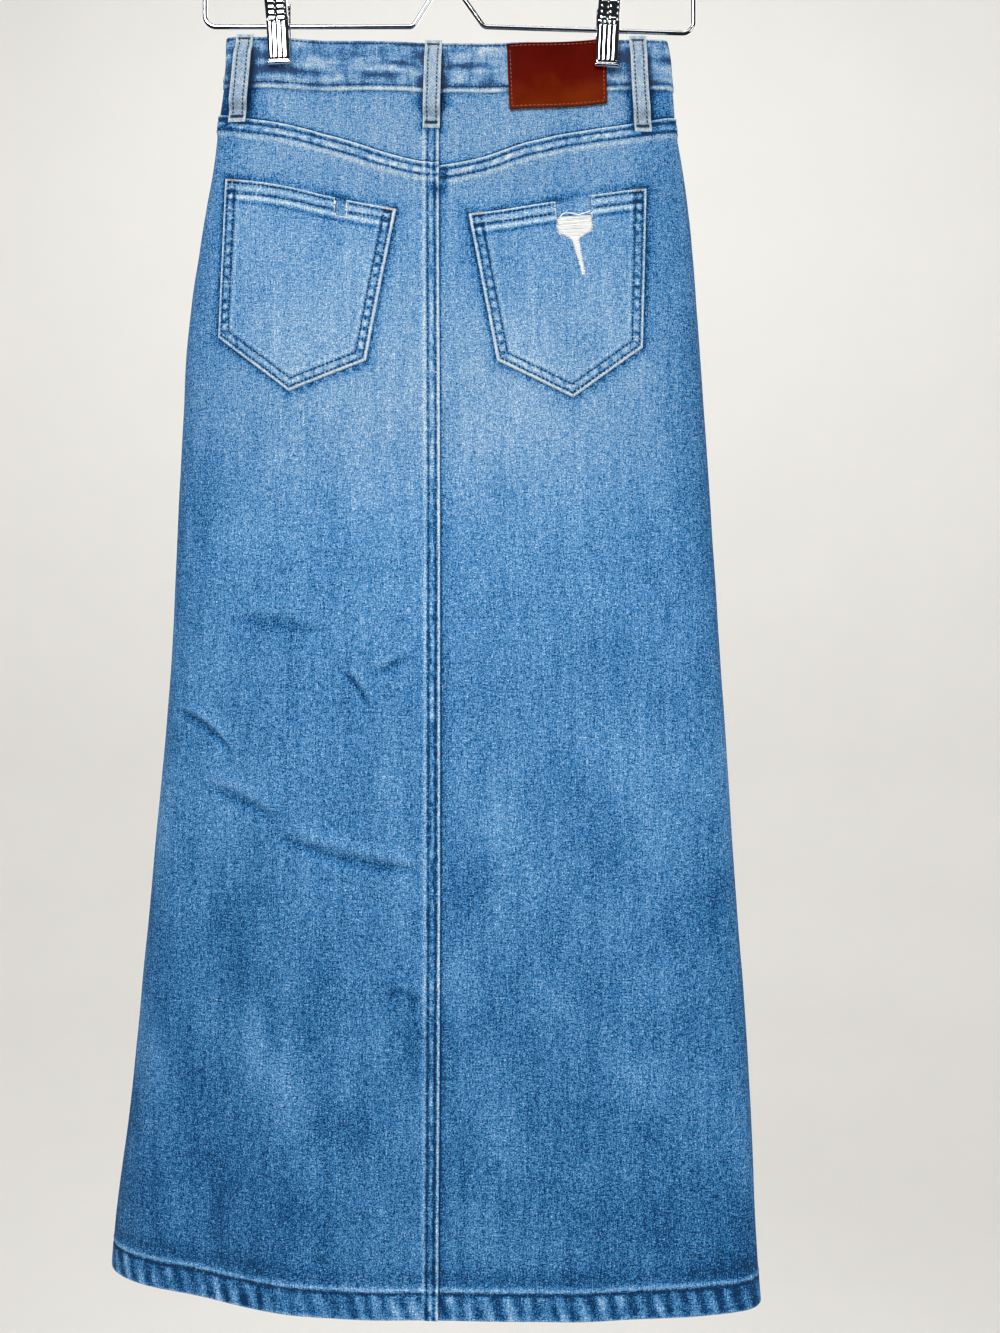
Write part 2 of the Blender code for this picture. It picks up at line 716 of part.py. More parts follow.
def build_hook():
    """Round hook on an S-shaped neck that stands over the hanger's middle."""
    ring = HOOK_INSIDE + HOOK_RADIUS
    centre = Vector((0, 0, -HOOK_INSIDE))
    rise = math.sqrt(ring**2 + 2 * ring * HOOK_NECK)
    neck = centre + Vector((HOOK_NECK, 0, -rise))
    meeting = math.degrees(math.atan2(-rise, HOOK_NECK))
    path = [Vector((0, 0, HOOK_START_Z))]
    path += arc(neck, HOOK_NECK, 180, 180 + meeting)
    path += arc(centre, ring, meeting, HOOK_END_ANGLE)[1:]
    rod("hanger_hook", path, HOOK_RADIUS, CHROME)


def build_frame():
    """Ferrule under the hook, and the one bent wire of the shoulders, sides and notched bar."""
    ferrule = turned("hanger_ferrule", FERRULE_PROFILE, CHROME)
    height = FERRULE_PROFILE[-1][1] * MM
    ferrule.location.z = HOOK_START_Z - SEAM_GAP - height
    start = ferrule.location.z - SEAM_GAP
    outline = (
        (-TWIN_X, start),
        (-TWIN_X, start - TWIN_DROP),
        (SIDE_LEFT_X, SHOULDER_Z),
        (SIDE_LEFT_X, BAR_Z),
        (NOTCH_LEFT_X, BAR_Z),
        (NOTCH_TOP_X, NOTCH_TOP_Z),
        (NOTCH_RIGHT_X, BAR_Z),
        (SIDE_RIGHT_X, BAR_Z - BAR_FALL),
        (SIDE_RIGHT_X, SHOULDER_Z),
        (TWIN_X, start - TWIN_DROP),
        (TWIN_X, start),
    )
    radii = (
        TWIN_RADIUS,
        SHOULDER_RADIUS,
        CORNER_RADIUS,
        NOTCH_RADIUS,
        NOTCH_RADIUS,
        NOTCH_RADIUS,
        CORNER_RADIUS,
        SHOULDER_RADIUS,
        TWIN_RADIUS,
    )
    rod("hanger_wire", rounded([Vector((x, 0, z)) for x, z in outline], radii), WIRE_RADIUS, CHROME)


def clip_plate(name, middle, face, jaw):
    """Bent plate of a clip on the back (-1) or front (1) side of the cloth."""
    path = []
    for bend in CLIP_BENDS:
        away = jaw if bend.grip else bend.away * MM
        path.append(middle + Vector((0, face * away, bend.height * MM)))
    path[-1].y += face * CLIP_LIP
    outer, inner = [], []
    for index, point in enumerate(path):
        run = path[min(index + 1, len(path) - 1)] - path[max(index - 1, 0)]
        normal = Vector((face, 0, 0)).cross(run).normalized()
        ends = [point + Vector((side * CLIP_WIDTH / 2, 0, 0)) for side in (-1, 1)]
        inner.append(ends)
        outer.append([end + normal * CLIP_WALL for end in ends])
    wall(name, outer, inner, CHROME)


def build_clip(side, x, jaw_back, jaw_front):
    """Two plates and the spring barrel between them, hung on the bar."""
    fall = max(x - NOTCH_RIGHT_X, 0) / (SIDE_RIGHT_X - NOTCH_RIGHT_X) * BAR_FALL
    middle = Vector((x, 0, BAR_Z - fall))
    clip_plate(f"clip_{side}_back", middle, -1, jaw_back)
    clip_plate(f"clip_{side}_front", middle, 1, jaw_front)
    spring = turned(f"clip_{side}_spring", SPRING_PROFILE, CHROME)
    spring.location = middle
    spring.rotation_euler.y = math.pi / 2


for side, sign in (("left", -1), ("right", 1)):
    build_skirt_side(side, sign)
    build_pocket(side)
build_waistband()
for loop in LOOPS:
    build_belt_loop(loop)
build_patch()
build_closure()
build_hook()
build_frame()
build_clip("left", CLIP_X[0], JAW, JAW)
build_clip("right", CLIP_X[1], JAW + PATCH_WALL + LAY_GAP, JAW)
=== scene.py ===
"""Long denim skirt hung by its waistband from two sprung clips on a chrome wire hanger.

Metres, +Z up. The origin is the inside of the hook's top and the skirt's back faces -Y. "Left" is
the wearer's left, at -X.

A place on the cloth has a girth, its distance round the skirt from the centre back seam and
growing towards +X, a drop, its distance below the waist's top edge, and a lift, its height off
the cloth's outer face. A shade is how far the indigo has washed out, from 0, raw, to 1, white;
painted shadow and shade at folded edges, creases and soft folds are added to it too.

Lifts and shades are sums of soft steps and bumps. The factor of each is its height in millimetres
or its share of white, and its place and width are in millimetres.
"""

import logging
import math
from dataclasses import dataclass, field
from enum import Enum
from typing import Any, Callable, NamedTuple, Optional, Sequence, Union

import bmesh
import bpy
import numpy as np
from mathutils import Matrix, Vector


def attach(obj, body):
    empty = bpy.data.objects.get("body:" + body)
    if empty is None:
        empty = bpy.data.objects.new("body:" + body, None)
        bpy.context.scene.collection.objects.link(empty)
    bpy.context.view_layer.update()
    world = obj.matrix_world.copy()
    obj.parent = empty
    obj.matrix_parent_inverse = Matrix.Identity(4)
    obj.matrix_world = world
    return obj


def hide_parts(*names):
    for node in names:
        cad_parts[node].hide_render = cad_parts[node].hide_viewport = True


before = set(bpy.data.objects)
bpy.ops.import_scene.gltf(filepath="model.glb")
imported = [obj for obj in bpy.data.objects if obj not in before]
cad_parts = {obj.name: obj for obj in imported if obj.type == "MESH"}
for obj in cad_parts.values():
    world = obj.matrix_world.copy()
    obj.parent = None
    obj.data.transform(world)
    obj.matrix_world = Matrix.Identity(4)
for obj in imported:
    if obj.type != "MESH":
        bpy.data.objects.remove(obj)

LOG = logging.getLogger("denim_skirt")
MM = 0.001
TWILL_PITCH = 1.05 * MM
STITCH_PITCH = 3.15
Array = np.ndarray
Numbers = Union[float, Array]
Colour = tuple[float, ...]
Material = bpy.types.Material
Piece = bpy.types.Object


class Side(Enum):
    """A half of the skirt, by the wearer's hand."""

    LEFT = "left"
    RIGHT = "right"

    @property
    def sign(self) -> int:
        """Side of X on which this half lies."""
        return -1 if self is Side.LEFT else 1


class Slot(Enum):
    """Material slots of the part's record."""

    DENIM = "denim"
    LOOP = "loop_denim"
    THREAD = "thread"
    TAPE = "zip_tape"
    LEATHER = "leather"
    BRASS = "brass"
    CHROME = "chrome"


def ease(t: Numbers) -> Numbers:
    """Smooth step from 0 to 1 as t goes from 0 to 1."""
    t = np.clip(t, 0.0, 1.0)
    return t * t * (3 - 2 * t)


def bell(distance: Numbers, width: float) -> Numbers:
    """Soft bump of height 1 round a distance of 0."""
    return np.exp(-((distance / width) ** 2))


def between(value: Numbers, low: float, high: float, soft: float) -> Numbers:
    """1 between two limits and 0 outside them, with soft ends."""
    return ease((value - low) / soft + 0.5) * ease((high - value) / soft + 0.5)


def smooth(table: Sequence[Any], column: str, key: str, place: Numbers) -> Numbers:
    """Value of the smooth curve through one of a table's columns.

    Args:
        table: rows in the order of the key.
        column: name of the column of values.
        key: name of the column of places.
        place: where the value is wanted, in the table's own units.

    Returns:
        The value, in the table's own units.
    """
    places = np.array([getattr(row, key) for row in table], dtype=float)
    values = np.array([getattr(row, column) for row in table], dtype=float)
    slopes = np.gradient(values, places)
    place = np.clip(place, places[0], places[-1])
    row = np.clip(np.searchsorted(places, place) - 1, 0, len(places) - 2)
    span = places[row + 1] - places[row]
    t = (place - places[row]) / span
    leaving = values[row] + slopes[row] * span * t
    arriving = values[row + 1] - slopes[row + 1] * span * (1 - t)
    return leaving + (arriving - leaving) * ease(t)


def spaced(*stretches: tuple[float, float]) -> Array:
    """Distances from 0 whose steps change from stretch to stretch.

    Args:
        stretches: pairs of a stretch's end and the step inside it, in millimetres.

    Returns:
        The distances in metres.
    """
    stops = [0.0]
    for end, step in stretches:
        count = max(1, round((end - stops[-1]) / step))
        stops += list(np.linspace(stops[-1], end, count + 1)[1:])
    return np.array(stops) * MM


def unit(vectors: Array) -> Array:
    """Vectors in the same directions, 1 long."""
    return vectors / np.linalg.norm(vectors, axis=-1, keepdims=True)


class Mottle:
    """Smooth random pattern that is the same on every run."""

    def __init__(self, seed: int, cells: int = 128) -> None:
        """Draws the pattern's lattice from a seed."""
        self.cells = cells
        self.lattice = np.random.default_rng(seed).uniform(-1, 1, (cells, cells))

    def at(self, u: Numbers, v: Numbers) -> Numbers:
        """Pattern's value, from -1 to 1, at a place given in lattice cells."""
        u, v = np.broadcast_arrays(np.asarray(u, float), np.asarray(v, float))
        column, row = np.floor(u).astype(int), np.floor(v).astype(int)
        s, t = ease(u - column), ease(v - row)
        column, row = column % self.cells, row % self.cells
        next_column, next_row = (column + 1) % self.cells, (row + 1) % self.cells
        upper = self.lattice[row, column] * (1 - s) + self.lattice[row, next_column] * s
        lower = self.lattice[next_row, column] * (1 - s) + self.lattice[next_row, next_column] * s
        return upper * (1 - t) + lower * t


MOTTLE = Mottle(11)


# The cloth's form


class Section(NamedTuple):
    """Sizes of the skirt at one level, in millimetres; the lean is a share."""

    drop: float
    left: float
    right: float
    edge: float
    back: float
    front: float
    lean: float
    swing: float
    seam: float


class Dip(NamedTuple):
    """How far the waistband sags at one place across the skirt, in millimetres."""

    x: float
    fall: float


class Flute(NamedTuple):
    """One long soft fold, in millimetres; face is -1 on the back."""

    face: int
    x_high: float
    x_low: float
    start: float
    end: float
    depth: float
    width: float


class Crease(NamedTuple):
    """One short crease from a place to another, in millimetres; a ridge lies beside its trough."""

    girth_a: float
    drop_a: float
    girth_b: float
    drop_b: float
    bow: float
    depth: float
    width: float


SECTIONS = (
    Section(0, -160.8, 160.3, 4.6, 5.5, 6.0, 0.00, 0.0, -10.3),
    Section(37, -163.5, 164.8, 5.0, 8.5, 8.0, 0.00, 0.4, -10.3),
    Section(62, -167.2, 166.4, 5.8, 11.0, 10.0, 0.00, 1.1, -10.3),
    Section(92, -170.9, 171.0, 6.8, 14.0, 12.0, 0.00, 2.0, -10.2),
    Section(122, -176.5, 174.8, 8.0, 17.0, 14.5, 0.03, 3.2, -10.0),
    Section(157, -182.3, 178.1, 9.5, 20.5, 17.0, 0.06, 4.6, -9.7),
    Section(202, -189.0, 181.2, 11.0, 24.0, 20.0, 0.10, 6.3, -9.3),
    Section(272, -194.3, 185.6, 12.0, 26.5, 22.0, 0.15, 8.8, -8.8),
    Section(362, -199.6, 191.3, 13.0, 28.0, 23.0, 0.20, 11.9, -8.5),
    Section(472, -206.6, 198.0, 14.0, 29.0, 23.0, 0.25, 15.8, -8.4),
    Section(592, -218.4, 204.9, 15.0, 30.0, 23.0, 0.29, 20.0, -8.3),
    Section(692, -228.6, 211.6, 15.5, 31.5, 23.5, 0.33, 23.5, -8.4),
    Section(792, -239.6, 216.6, 16.0, 33.0, 24.0, 0.36, 27.0, -8.8),
    Section(862, -249.2, 219.6, 16.0, 34.0, 24.5, 0.38, 29.3, -9.2),
    Section(915, -254.6, 223.1, 16.0, 34.0, 25.0, 0.38, 31.0, -9.4),
)
WAIST_DIPS = (
    Dip(-175, 1.5),
    Dip(-145, 0.0),
    Dip(-123, 0.0),
    Dip(-85, 4.0),
    Dip(-40, 6.5),
    Dip(10, 8.0),
    Dip(60, 6.5),
    Dip(100, 3.5),
    Dip(117, 2.5),
    Dip(145, 2.0),
    Dip(175, 4.0),
)
FLUTES = (
    Flute(-1, -150, -178, 300, 915, -3.0, 30),
    Flute(-1, -95, -118, 360, 915, 2.2, 34),
    Flute(-1, 118, 134, 330, 915, -3.0, 32),
    Flute(1, -70, -96, 260, 915, -5.0, 34),
    Flute(1, 78, 104, 300, 915, -4.5, 30),
    Flute(1, 8, 4, 420, 915, 3.0, 36),
)
CREASES = (
    Crease(-64.5, 461, -43.5, 490, 2.0, 2.1, 2.0),
    Crease(-44, 464, -13, 449, -1.5, 1.8, 2.1),
    Crease(-193, 491, -148, 520, 4.0, 2.3, 2.3),
    Crease(-166, 545, -112, 568, 2.0, 1.7, 3.4),
    Crease(-112, 578, -8, 602, -4.0, 1.9, 3.6),
    Crease(-142, 426, -80, 435, 2.0, 1.2, 4.2),
    Crease(-30, 686, -6, 693, 1.0, 1.4, 2.6),
    Crease(-305, 470, -262, 488, 3.0, 2.2, 2.6),
    Crease(-352, 524, -318, 512, -2.0, 1.7, 2.6),
    Crease(-398, 604, -352, 622, 2.5, 1.9, 3.2),
    Crease(268, 508, 312, 492, 2.5, 2.0, 2.6),
    Crease(330, 596, 372, 611, -2.0, 1.6, 2.8),
    Crease(352, 438, 380, 446, 1.5, 1.2, 3.0),
)


@dataclass
class HungForm:
    """Form in which the skirt's cloth hangs."""

    waist_z: float = -133.5 * MM
    sag_hold: float = 50 * MM
    sag_fade: float = 250 * MM
    clips: tuple[float, float] = (-123.4 * MM, 117.1 * MM)
    pinch_half: float = 2.4 * MM
    pinch_flat: float = 11 * MM
    pinch_fade: float = 60 * MM
    pinch_top: float = 22 * MM
    pinch_end: float = 135 * MM
    level_step: float = 2.5 * MM
    girth_step: float = 1 * MM
    reach: float = 560 * MM
    highest: float = -12 * MM
    lowest: float = 935 * MM

    def __post_init__(self) -> None:
        """Traces the outline at every level and the way the cloth faces there."""
        self.levels = np.arange(self.highest, self.lowest, self.level_step)
        self.girths = np.arange(-self.reach, self.reach, self.girth_step)
        places, self.totals = [], []
        for drop in self.levels:
            girth, x, y, total = self.trace(drop)
            across = np.interp(self.girths, girth, x, period=total)
            depth = np.interp(self.girths, girth, y, period=total)
            places.append(np.stack([across, depth, self.waist_z - drop - self.sag(across, drop)], axis=-1))
            self.totals.append(total)
        self.places = np.array(places)
        down = np.gradient(self.places, self.level_step, axis=0)
        along = np.gradient(self.places, self.girth_step, axis=1)
        self.facings = unit(np.cross(down, along))

    def sag(self, x: Numbers, drop: Numbers) -> Numbers:
        """How far the cloth hangs below its level place."""
        fall = smooth(WAIST_DIPS, "fall", "x", np.asarray(x) / MM) * MM
        return fall * (1 - ease((drop - self.sag_hold) / self.sag_fade))

    def pinch(self, x: Array, drop: float) -> Array:
        """How much the clips squeeze the cloth, from 0 to 1."""
        away = np.min([np.abs(x - clip) for clip in self.clips], axis=0)
        across = 1 - ease((away - self.pinch_flat) / self.pinch_fade)
        return across * (1 - ease((drop - self.pinch_top) / (self.pinch_end - self.pinch_top)))

    def trace(self, drop: float) -> tuple[Array, Array, Array, float]:
        """Closed outline at a drop, from the centre front round by the left.

        Args:
            drop: level of the outline.

        Returns:
            Girth, x and y of its points, and its whole length.
        """
        row = Section(
            drop, *(smooth(SECTIONS, name, "drop", drop / MM) * MM for name in Section._fields[1:])
        )
        tilt = row.lean / MM
        half, centre = (row.right - row.left) / 2 - row.edge, (row.right + row.left) / 2
        even = np.linspace(-math.pi, math.pi, 241)
        facing = np.linspace(-math.pi, math.pi, 193)
        turned = np.arctan2(half * np.sin(facing), (row.back + row.front) / 2 * np.cos(facing))
        angles = np.unique(np.round(np.concatenate([even, turned]), 7))[:-1]
        sine, cosine = np.sin(angles), np.cos(angles)
        on_back = cosine > 0
        swell = np.where(on_back, row.back, row.front)
        lean = np.where(on_back, tilt, 0.0)
        x, y = half * sine, -swell * cosine * (1 - lean * sine)
        run_x = half * cosine
        run_y = swell * sine * (1 - lean * sine) + swell * lean * cosine**2
        run = np.hypot(run_x, run_y)
        x, y = x + row.edge * run_y / run, y - row.edge * run_x / run
        side = np.where(on_back, -1, 1)
        for flute in FLUTES:
            if drop / MM > flute.start:
                along = (drop / MM - flute.start) / (flute.end - flute.start)
                middle = (flute.x_high + (flute.x_low - flute.x_high) * along) * MM - centre
                push = bell(x - middle, flute.width * MM) * ease(2 * along) * flute.depth * MM
                y = y + np.where(side == flute.face, side * push, 0)
        hold = self.pinch_half
        squeezed = np.sign(y) * (hold + (np.abs(y) - hold) * (1 - self.pinch(x + centre, drop)))
        y = np.where(np.abs(y) > hold, squeezed, y) - row.swing * x / half
        x = x + centre
        steps = np.hypot(np.roll(x, -1) - x, np.roll(y, -1) - y)
        girth = np.concatenate([[0], np.cumsum(steps)[:-1]])
        girth = girth - np.interp(row.seam, x[on_back], girth[on_back])
        return girth, x, y, float(steps.sum())

    def _read(self, table: Array, girth: Numbers, drop: Numbers) -> Array:
        """Reads a traced table between its levels and girths."""
        girth, drop = np.broadcast_arrays(np.asarray(girth, float), np.asarray(drop, float))
        level = (drop - self.highest) / self.level_step
        column = (girth + self.reach) / self.girth_step
        row = np.clip(np.floor(level).astype(int), 0, len(self.levels) - 2)
        step = np.clip(np.floor(column).astype(int), 0, len(self.girths) - 2)
        t, s = (level - row)[..., None], (column - step)[..., None]
        upper = table[row, step] * (1 - s) + table[row, step + 1] * s
        lower = table[row + 1, step] * (1 - s) + table[row + 1, step + 1] * s
        return upper * (1 - t) + lower * t

    def half(self, drop: Numbers) -> Numbers:
        """Girth from the centre back to the centre front."""
        return np.interp(drop, self.levels, self.totals) / 2

    def facing(self, girth: Numbers, drop: Numbers) -> Array:
        """Direction that the cloth's outer face looks in."""
        return self._read(self.facings, girth, drop)

    def place(self, girth: Numbers, drop: Numbers, lift: Numbers = 0.0) -> Array:
        """World position of places on the creased cloth."""
        lift = np.asarray(lift, float) + self.relief(girth, drop)
        return self._read(self.places, girth, drop) + self.facing(girth, drop) * lift[..., None]

    def relief(self, girth: Numbers, drop: Numbers) -> Array:
        """How far creases move the cloth out of its hung form."""
        g, d = np.asarray(girth, float) / MM, np.asarray(drop, float) / MM
        soft = 0.35 * MOTTLE.at(g / 46, d / 90) + 0.18 * MOTTLE.at(g / 19 + 7, d / 31)
        return (self.creasing(girth, drop) + soft * ease((d - 120) / 200)) * MM

    def creasing(self, girth: Numbers, drop: Numbers) -> Array:
        """Height of the creases' ridges above 0 and of their troughs below it, in millimetres."""
        girth, drop = np.broadcast_arrays(np.asarray(girth, float), np.asarray(drop, float))
        g, d = girth / MM, drop / MM
        moved = np.zeros(g.shape)
        for crease in CREASES:
            run, fall = crease.girth_b - crease.girth_a, crease.drop_b - crease.drop_a
            length = math.hypot(run, fall)
            along = ((g - crease.girth_a) * run + (d - crease.drop_a) * fall) / length**2
            off = ((g - crease.girth_a) * fall - (d - crease.drop_a) * run) / length
            off = off - crease.bow * 4 * along * (1 - along)
            fade = ease((along + 0.12) / 0.4) * ease((1.12 - along) / 0.4)
            width = crease.width * (0.75 + 0.5 * fade)
            trough = bell(off, width) - 0.8 * bell(off - 1.7 * width, 1.2 * width)
            moved -= crease.depth * fade * trough
        return moved


# Shader building


def _operator(operation: str, swapped: bool = False) -> Callable[["Signal", Any], "Signal"]:
    """Makes an operator that adds a Math node; its reflected form has its sides swapped."""

    def add_node(signal: "Signal", other: Any) -> "Signal":
        """Adds the node."""
        sides = {1: signal, 0: other} if swapped else {0: signal, 1: other}
        return signal.graph.node("ShaderNodeMath", {"operation": operation}, sides)

    return add_node


class Signal:
    """Value of a shader socket; the usual operators on it add Math nodes."""

    def __init__(self, graph: "Graph", socket: Any) -> None:
        """Wraps an output socket of a graph."""
        self.graph = graph
        self.socket = socket

    __add__, __radd__ = _operator("ADD"), _operator("ADD", True)
    __sub__, __rsub__ = _operator("SUBTRACT"), _operator("SUBTRACT", True)
    __mul__, __rmul__ = _operator("MULTIPLY"), _operator("MULTIPLY", True)

    def sine(self) -> "Signal":
        """Sine of an angle in radians."""
        return self.graph.node("ShaderNodeMath", {"operation": "SINE"}, {0: self})

    def above(self, low: float, high: float) -> "Signal":
        """0 below one limit, 1 above the other, and smooth between them."""
        limits = {"Value": self, "From Min": low, "From Max": high}
        return self.graph.node("ShaderNodeMapRange", {"interpolation_type": "SMOOTHSTEP"}, limits)


class Graph:
    """Node tree of one material, ending in a Principled shader."""

    def __init__(self, name: str, **constants: Any) -> None:
        """Starts a material whose shader has some constant sockets.

        Args:
            name: the material's name.
            constants: values of the shader's sockets, by name with _ for a space.
        """
        self.material = bpy.data.materials.new(name)
        self.material.use_nodes = True
        self.tree = self.material.node_tree
        self.shader = self.tree.nodes["Principled BSDF"]
        for socket, value in constants.items():
            self.shader.inputs[socket.replace("_", " ")].default_value = value

    def node(
        self, kind: str, settings: dict[str, Any], inputs: dict[Any, Any], output: Any = 0
    ) -> Signal:
        """Adds a node.

        Args:
            kind: the node's type.
            settings: its properties, and a ramp's stops under "stops".
            inputs: values or signals of its sockets, by name or number.
            output: name or number of the output that is wanted.

        Returns:
            The signal of that output.
        """
        made = self.tree.nodes.new(kind)
        stops = settings.get("stops")
        for name, value in settings.items():
            if name != "stops":
                setattr(made, name, value)
        if stops:
            ramp = made.color_ramp.elements
            while len(ramp) < len(stops):
                ramp.new(0.5)
            for element, (position, colour) in zip(ramp, stops):
                element.position = position
                element.color = (*colour, 1)
        for name, value in inputs.items():
            if isinstance(value, Signal):
                self.tree.links.new(value.socket, made.inputs[name])
            else:
                made.inputs[name].default_value = value
        return Signal(self, made.outputs[output])

    def feed(self, socket: str, signal: Signal) -> None:
        """Links a signal to one of the shader's sockets."""
        self.tree.links.new(signal.socket, self.shader.inputs[socket])

    def weave_place(self) -> tuple[Signal, Signal]:
        """Girth and rise, in metres, of the place being shaded; a rise is a drop counted upwards."""
        uv = self.node("ShaderNodeUVMap", {"uv_map": "weave"}, {})
        return (
            self.node("ShaderNodeSeparateXYZ", {}, {0: uv}, "X"),
            self.node("ShaderNodeSeparateXYZ", {}, {0: uv}, "Y"),
        )

    def combine(self, x: Any, y: Any, z: Any = 0.0) -> Signal:
        """Vector of three signals or numbers."""
        return self.node("ShaderNodeCombineXYZ", {}, {0: x, 1: y, 2: z})

    def object_place(self) -> Signal:
        """Place in the piece's own metres."""
        return self.node("ShaderNodeTexCoord", {}, {}, "Object")

    def noise(self, place: Signal, scale: float, detail: float = 2.0, rough: float = 0.5) -> Signal:
        """Noise from 0 to 1 with cells of 1/scale metres."""
        values = {"Vector": place, "Scale": scale, "Detail": detail, "Roughness": rough}
        return self.node("ShaderNodeTexNoise", {}, values, "Fac")

    def stored(self, name: str) -> Signal:
        """Value stored on the mesh's points."""
        return self.node("ShaderNodeAttribute", {"attribute_name": name}, {}, "Fac")

    def ramp(self, factor: Signal, stops: Sequence[tuple[float, Colour]]) -> Signal:
        """Colour of a ramp."""
        return self.node("ShaderNodeValToRGB", {"stops": stops}, {"Fac": factor}, "Color")

    def mix(self, factor: Any, first: Any, second: Any) -> Signal:
        """Mix of two colours."""
        return self.node("ShaderNodeMix", {"data_type": "RGBA"}, {0: factor, 6: first, 7: second}, 2)

    def bump(self, height: Signal, depth: float, strength: float = 1.0) -> None:
        """Feeds the shader's normal from a height whose range of 1 is a depth in metres."""
        values = {"Height": height, "Distance": depth, "Strength": strength}
        self.feed("Normal", self.node("ShaderNodeBump", {}, values))


INDIGO_STOPS = (
    (0.00, (0.001, 0.028, 0.100)),
    (0.20, (0.014, 0.138, 0.355)),
    (0.40, (0.078, 0.250, 0.500)),
    (0.60, (0.195, 0.378, 0.630)),
    (0.80, (0.400, 0.600, 0.800)),
    (1.00, (0.700, 0.790, 0.860)),
)


@dataclass(frozen=True)
class WashedDenim:
    """Indigo twill, washed out by the stored shade, which also holds painted shadow and shade."""

    name: str = "washed_denim"
    lighter: float = 0.0
    grain: float = 1.85
    greyed: float = 0.0
    wale: float = 0.05
    twill_pitch: float = TWILL_PITCH
    faded: Colour = (0.36, 0.39, 0.41, 1)
    yellowed: Colour = (0.24, 0.21, 0.12, 1)
    weft_in_shade: Colour = (0.56, 0.59, 0.58, 1)
    weft_in_light: Colour = (0.86, 0.85, 0.80, 1)

    def material(self) -> Material:
        """Builds the material."""
        graph = Graph(self.name, Roughness=0.92, Specular_IOR_Level=0.15, Sheen_Weight=0.02)
        girth, rise = graph.weave_place()
        weave = graph.combine(girth, rise)
        speck = graph.noise(weave, 980, 1.0, 0.5)
        coarse = graph.noise(weave, 430, 2.0, 0.6)
        warp = graph.noise(graph.combine(girth * 1050, rise * 170), 1.0, 2.0)
        weft = graph.noise(graph.combine(girth * 190 + 9, rise * 620), 1.0, 2.0)
        blotch = graph.noise(weave, 75, 2.0)
        cloud = graph.noise(weave, 20, 3.0, 0.55)
        streak = graph.noise(graph.combine(girth * 160, rise * 12), 1.0, 2.0)
        slub = graph.noise(graph.combine(girth * 430, rise * 34), 1.0, 2.0)
        twill = ((girth * 0.8 + rise) * (2 * math.pi / self.twill_pitch)).sine()
        shade = graph.stored("shade") + self.lighter
        shade = shade + (speck - 0.5) * self.grain + (coarse - 0.5) * (self.grain * 0.35)
        shade = shade + (warp - 0.5) * 0.85 + (weft - 0.5) * 0.62
        shade = shade + (blotch - 0.5) * 0.16 + (cloud - 0.5) * 0.20
        shade = shade + (streak - 0.5) * 0.20 + (slub - 0.5) * 0.34
        colour = graph.ramp((shade + twill * self.wale) * 0.8, INDIGO_STOPS)
        colour = graph.mix(self.greyed, colour, self.faded)
        aged = rise.above(-0.40, -0.27) * 0.19 + rise.above(-0.14, -0.10) * 0.12
        aged = aged * shade.above(0.25, 0.75)
        colour = graph.mix(aged, colour, self.yellowed)
        fray = graph.stored("fray") + (speck - 0.5) * 0.5
        bare = graph.mix(weft.above(0.42, 0.58), self.weft_in_shade, self.weft_in_light)
        graph.feed("Base Color", graph.mix(fray.above(0.4, 0.6), colour, bare))
        height = twill * 0.35 + speck * 1.2 + coarse * 0.8 + warp * 0.5
        graph.bump(height, 0.22 * MM, 0.8)
        return graph.material


@dataclass(frozen=True)
class WrongSide:
    """Wrong side of the twill, where the white weft shows."""

    name: str = "denim_wrong_side"

    def material(self) -> Material:
        """Builds the material."""
        graph = Graph(self.name, Roughness=0.92, Specular_IOR_Level=0.15)
        girth, rise = graph.weave_place()
        weave = graph.combine(girth, rise)
        twill = ((girth * 0.8 - rise) * (2 * math.pi / TWILL_PITCH)).sine()
        shade = graph.noise(weave, 900, 1.5) * 0.35 + graph.noise(weave, 20, 2.0) * 0.15
        shade = shade + twill * 0.06 + 0.50
        graph.feed("Base Color", graph.ramp(shade * 0.8, INDIGO_STOPS))
        graph.bump(twill * 0.5 + graph.noise(weave, 950, 1.0), 0.2 * MM, 0.7)
        return graph.material


@dataclass(frozen=True)
class SewingThread:
    """Twisted thread of one colour."""

    name: str
    colour: Colour
    roughness: float = 0.7
    shadow: float = 0.6

    def material(self) -> Material:
        """Builds the material."""
        graph = Graph(self.name, Roughness=self.roughness, Specular_IOR_Level=0.25)
        fibre = graph.noise(graph.object_place(), 1800, 2.0)
        worn = graph.noise(graph.object_place(), 60, 2.0)
        deep = tuple(part * self.shadow for part in self.colour)
        pale = tuple(min(1.0, part * 1.9 + 0.02) for part in self.colour)
        tone = fibre * 0.5 + worn * 0.5
        graph.feed("Base Color", graph.ramp(tone, ((0.3, deep), (0.7, pale))))
        graph.bump(fibre, 0.1 * MM)
        return graph.material


LEATHER_STOPS = (
    (0.0, (0.058, 0.0012, 0.0002)),
    (0.5, (0.088, 0.0032, 0.0004)),
    (1.0, (0.150, 0.020, 0.0010)),
)


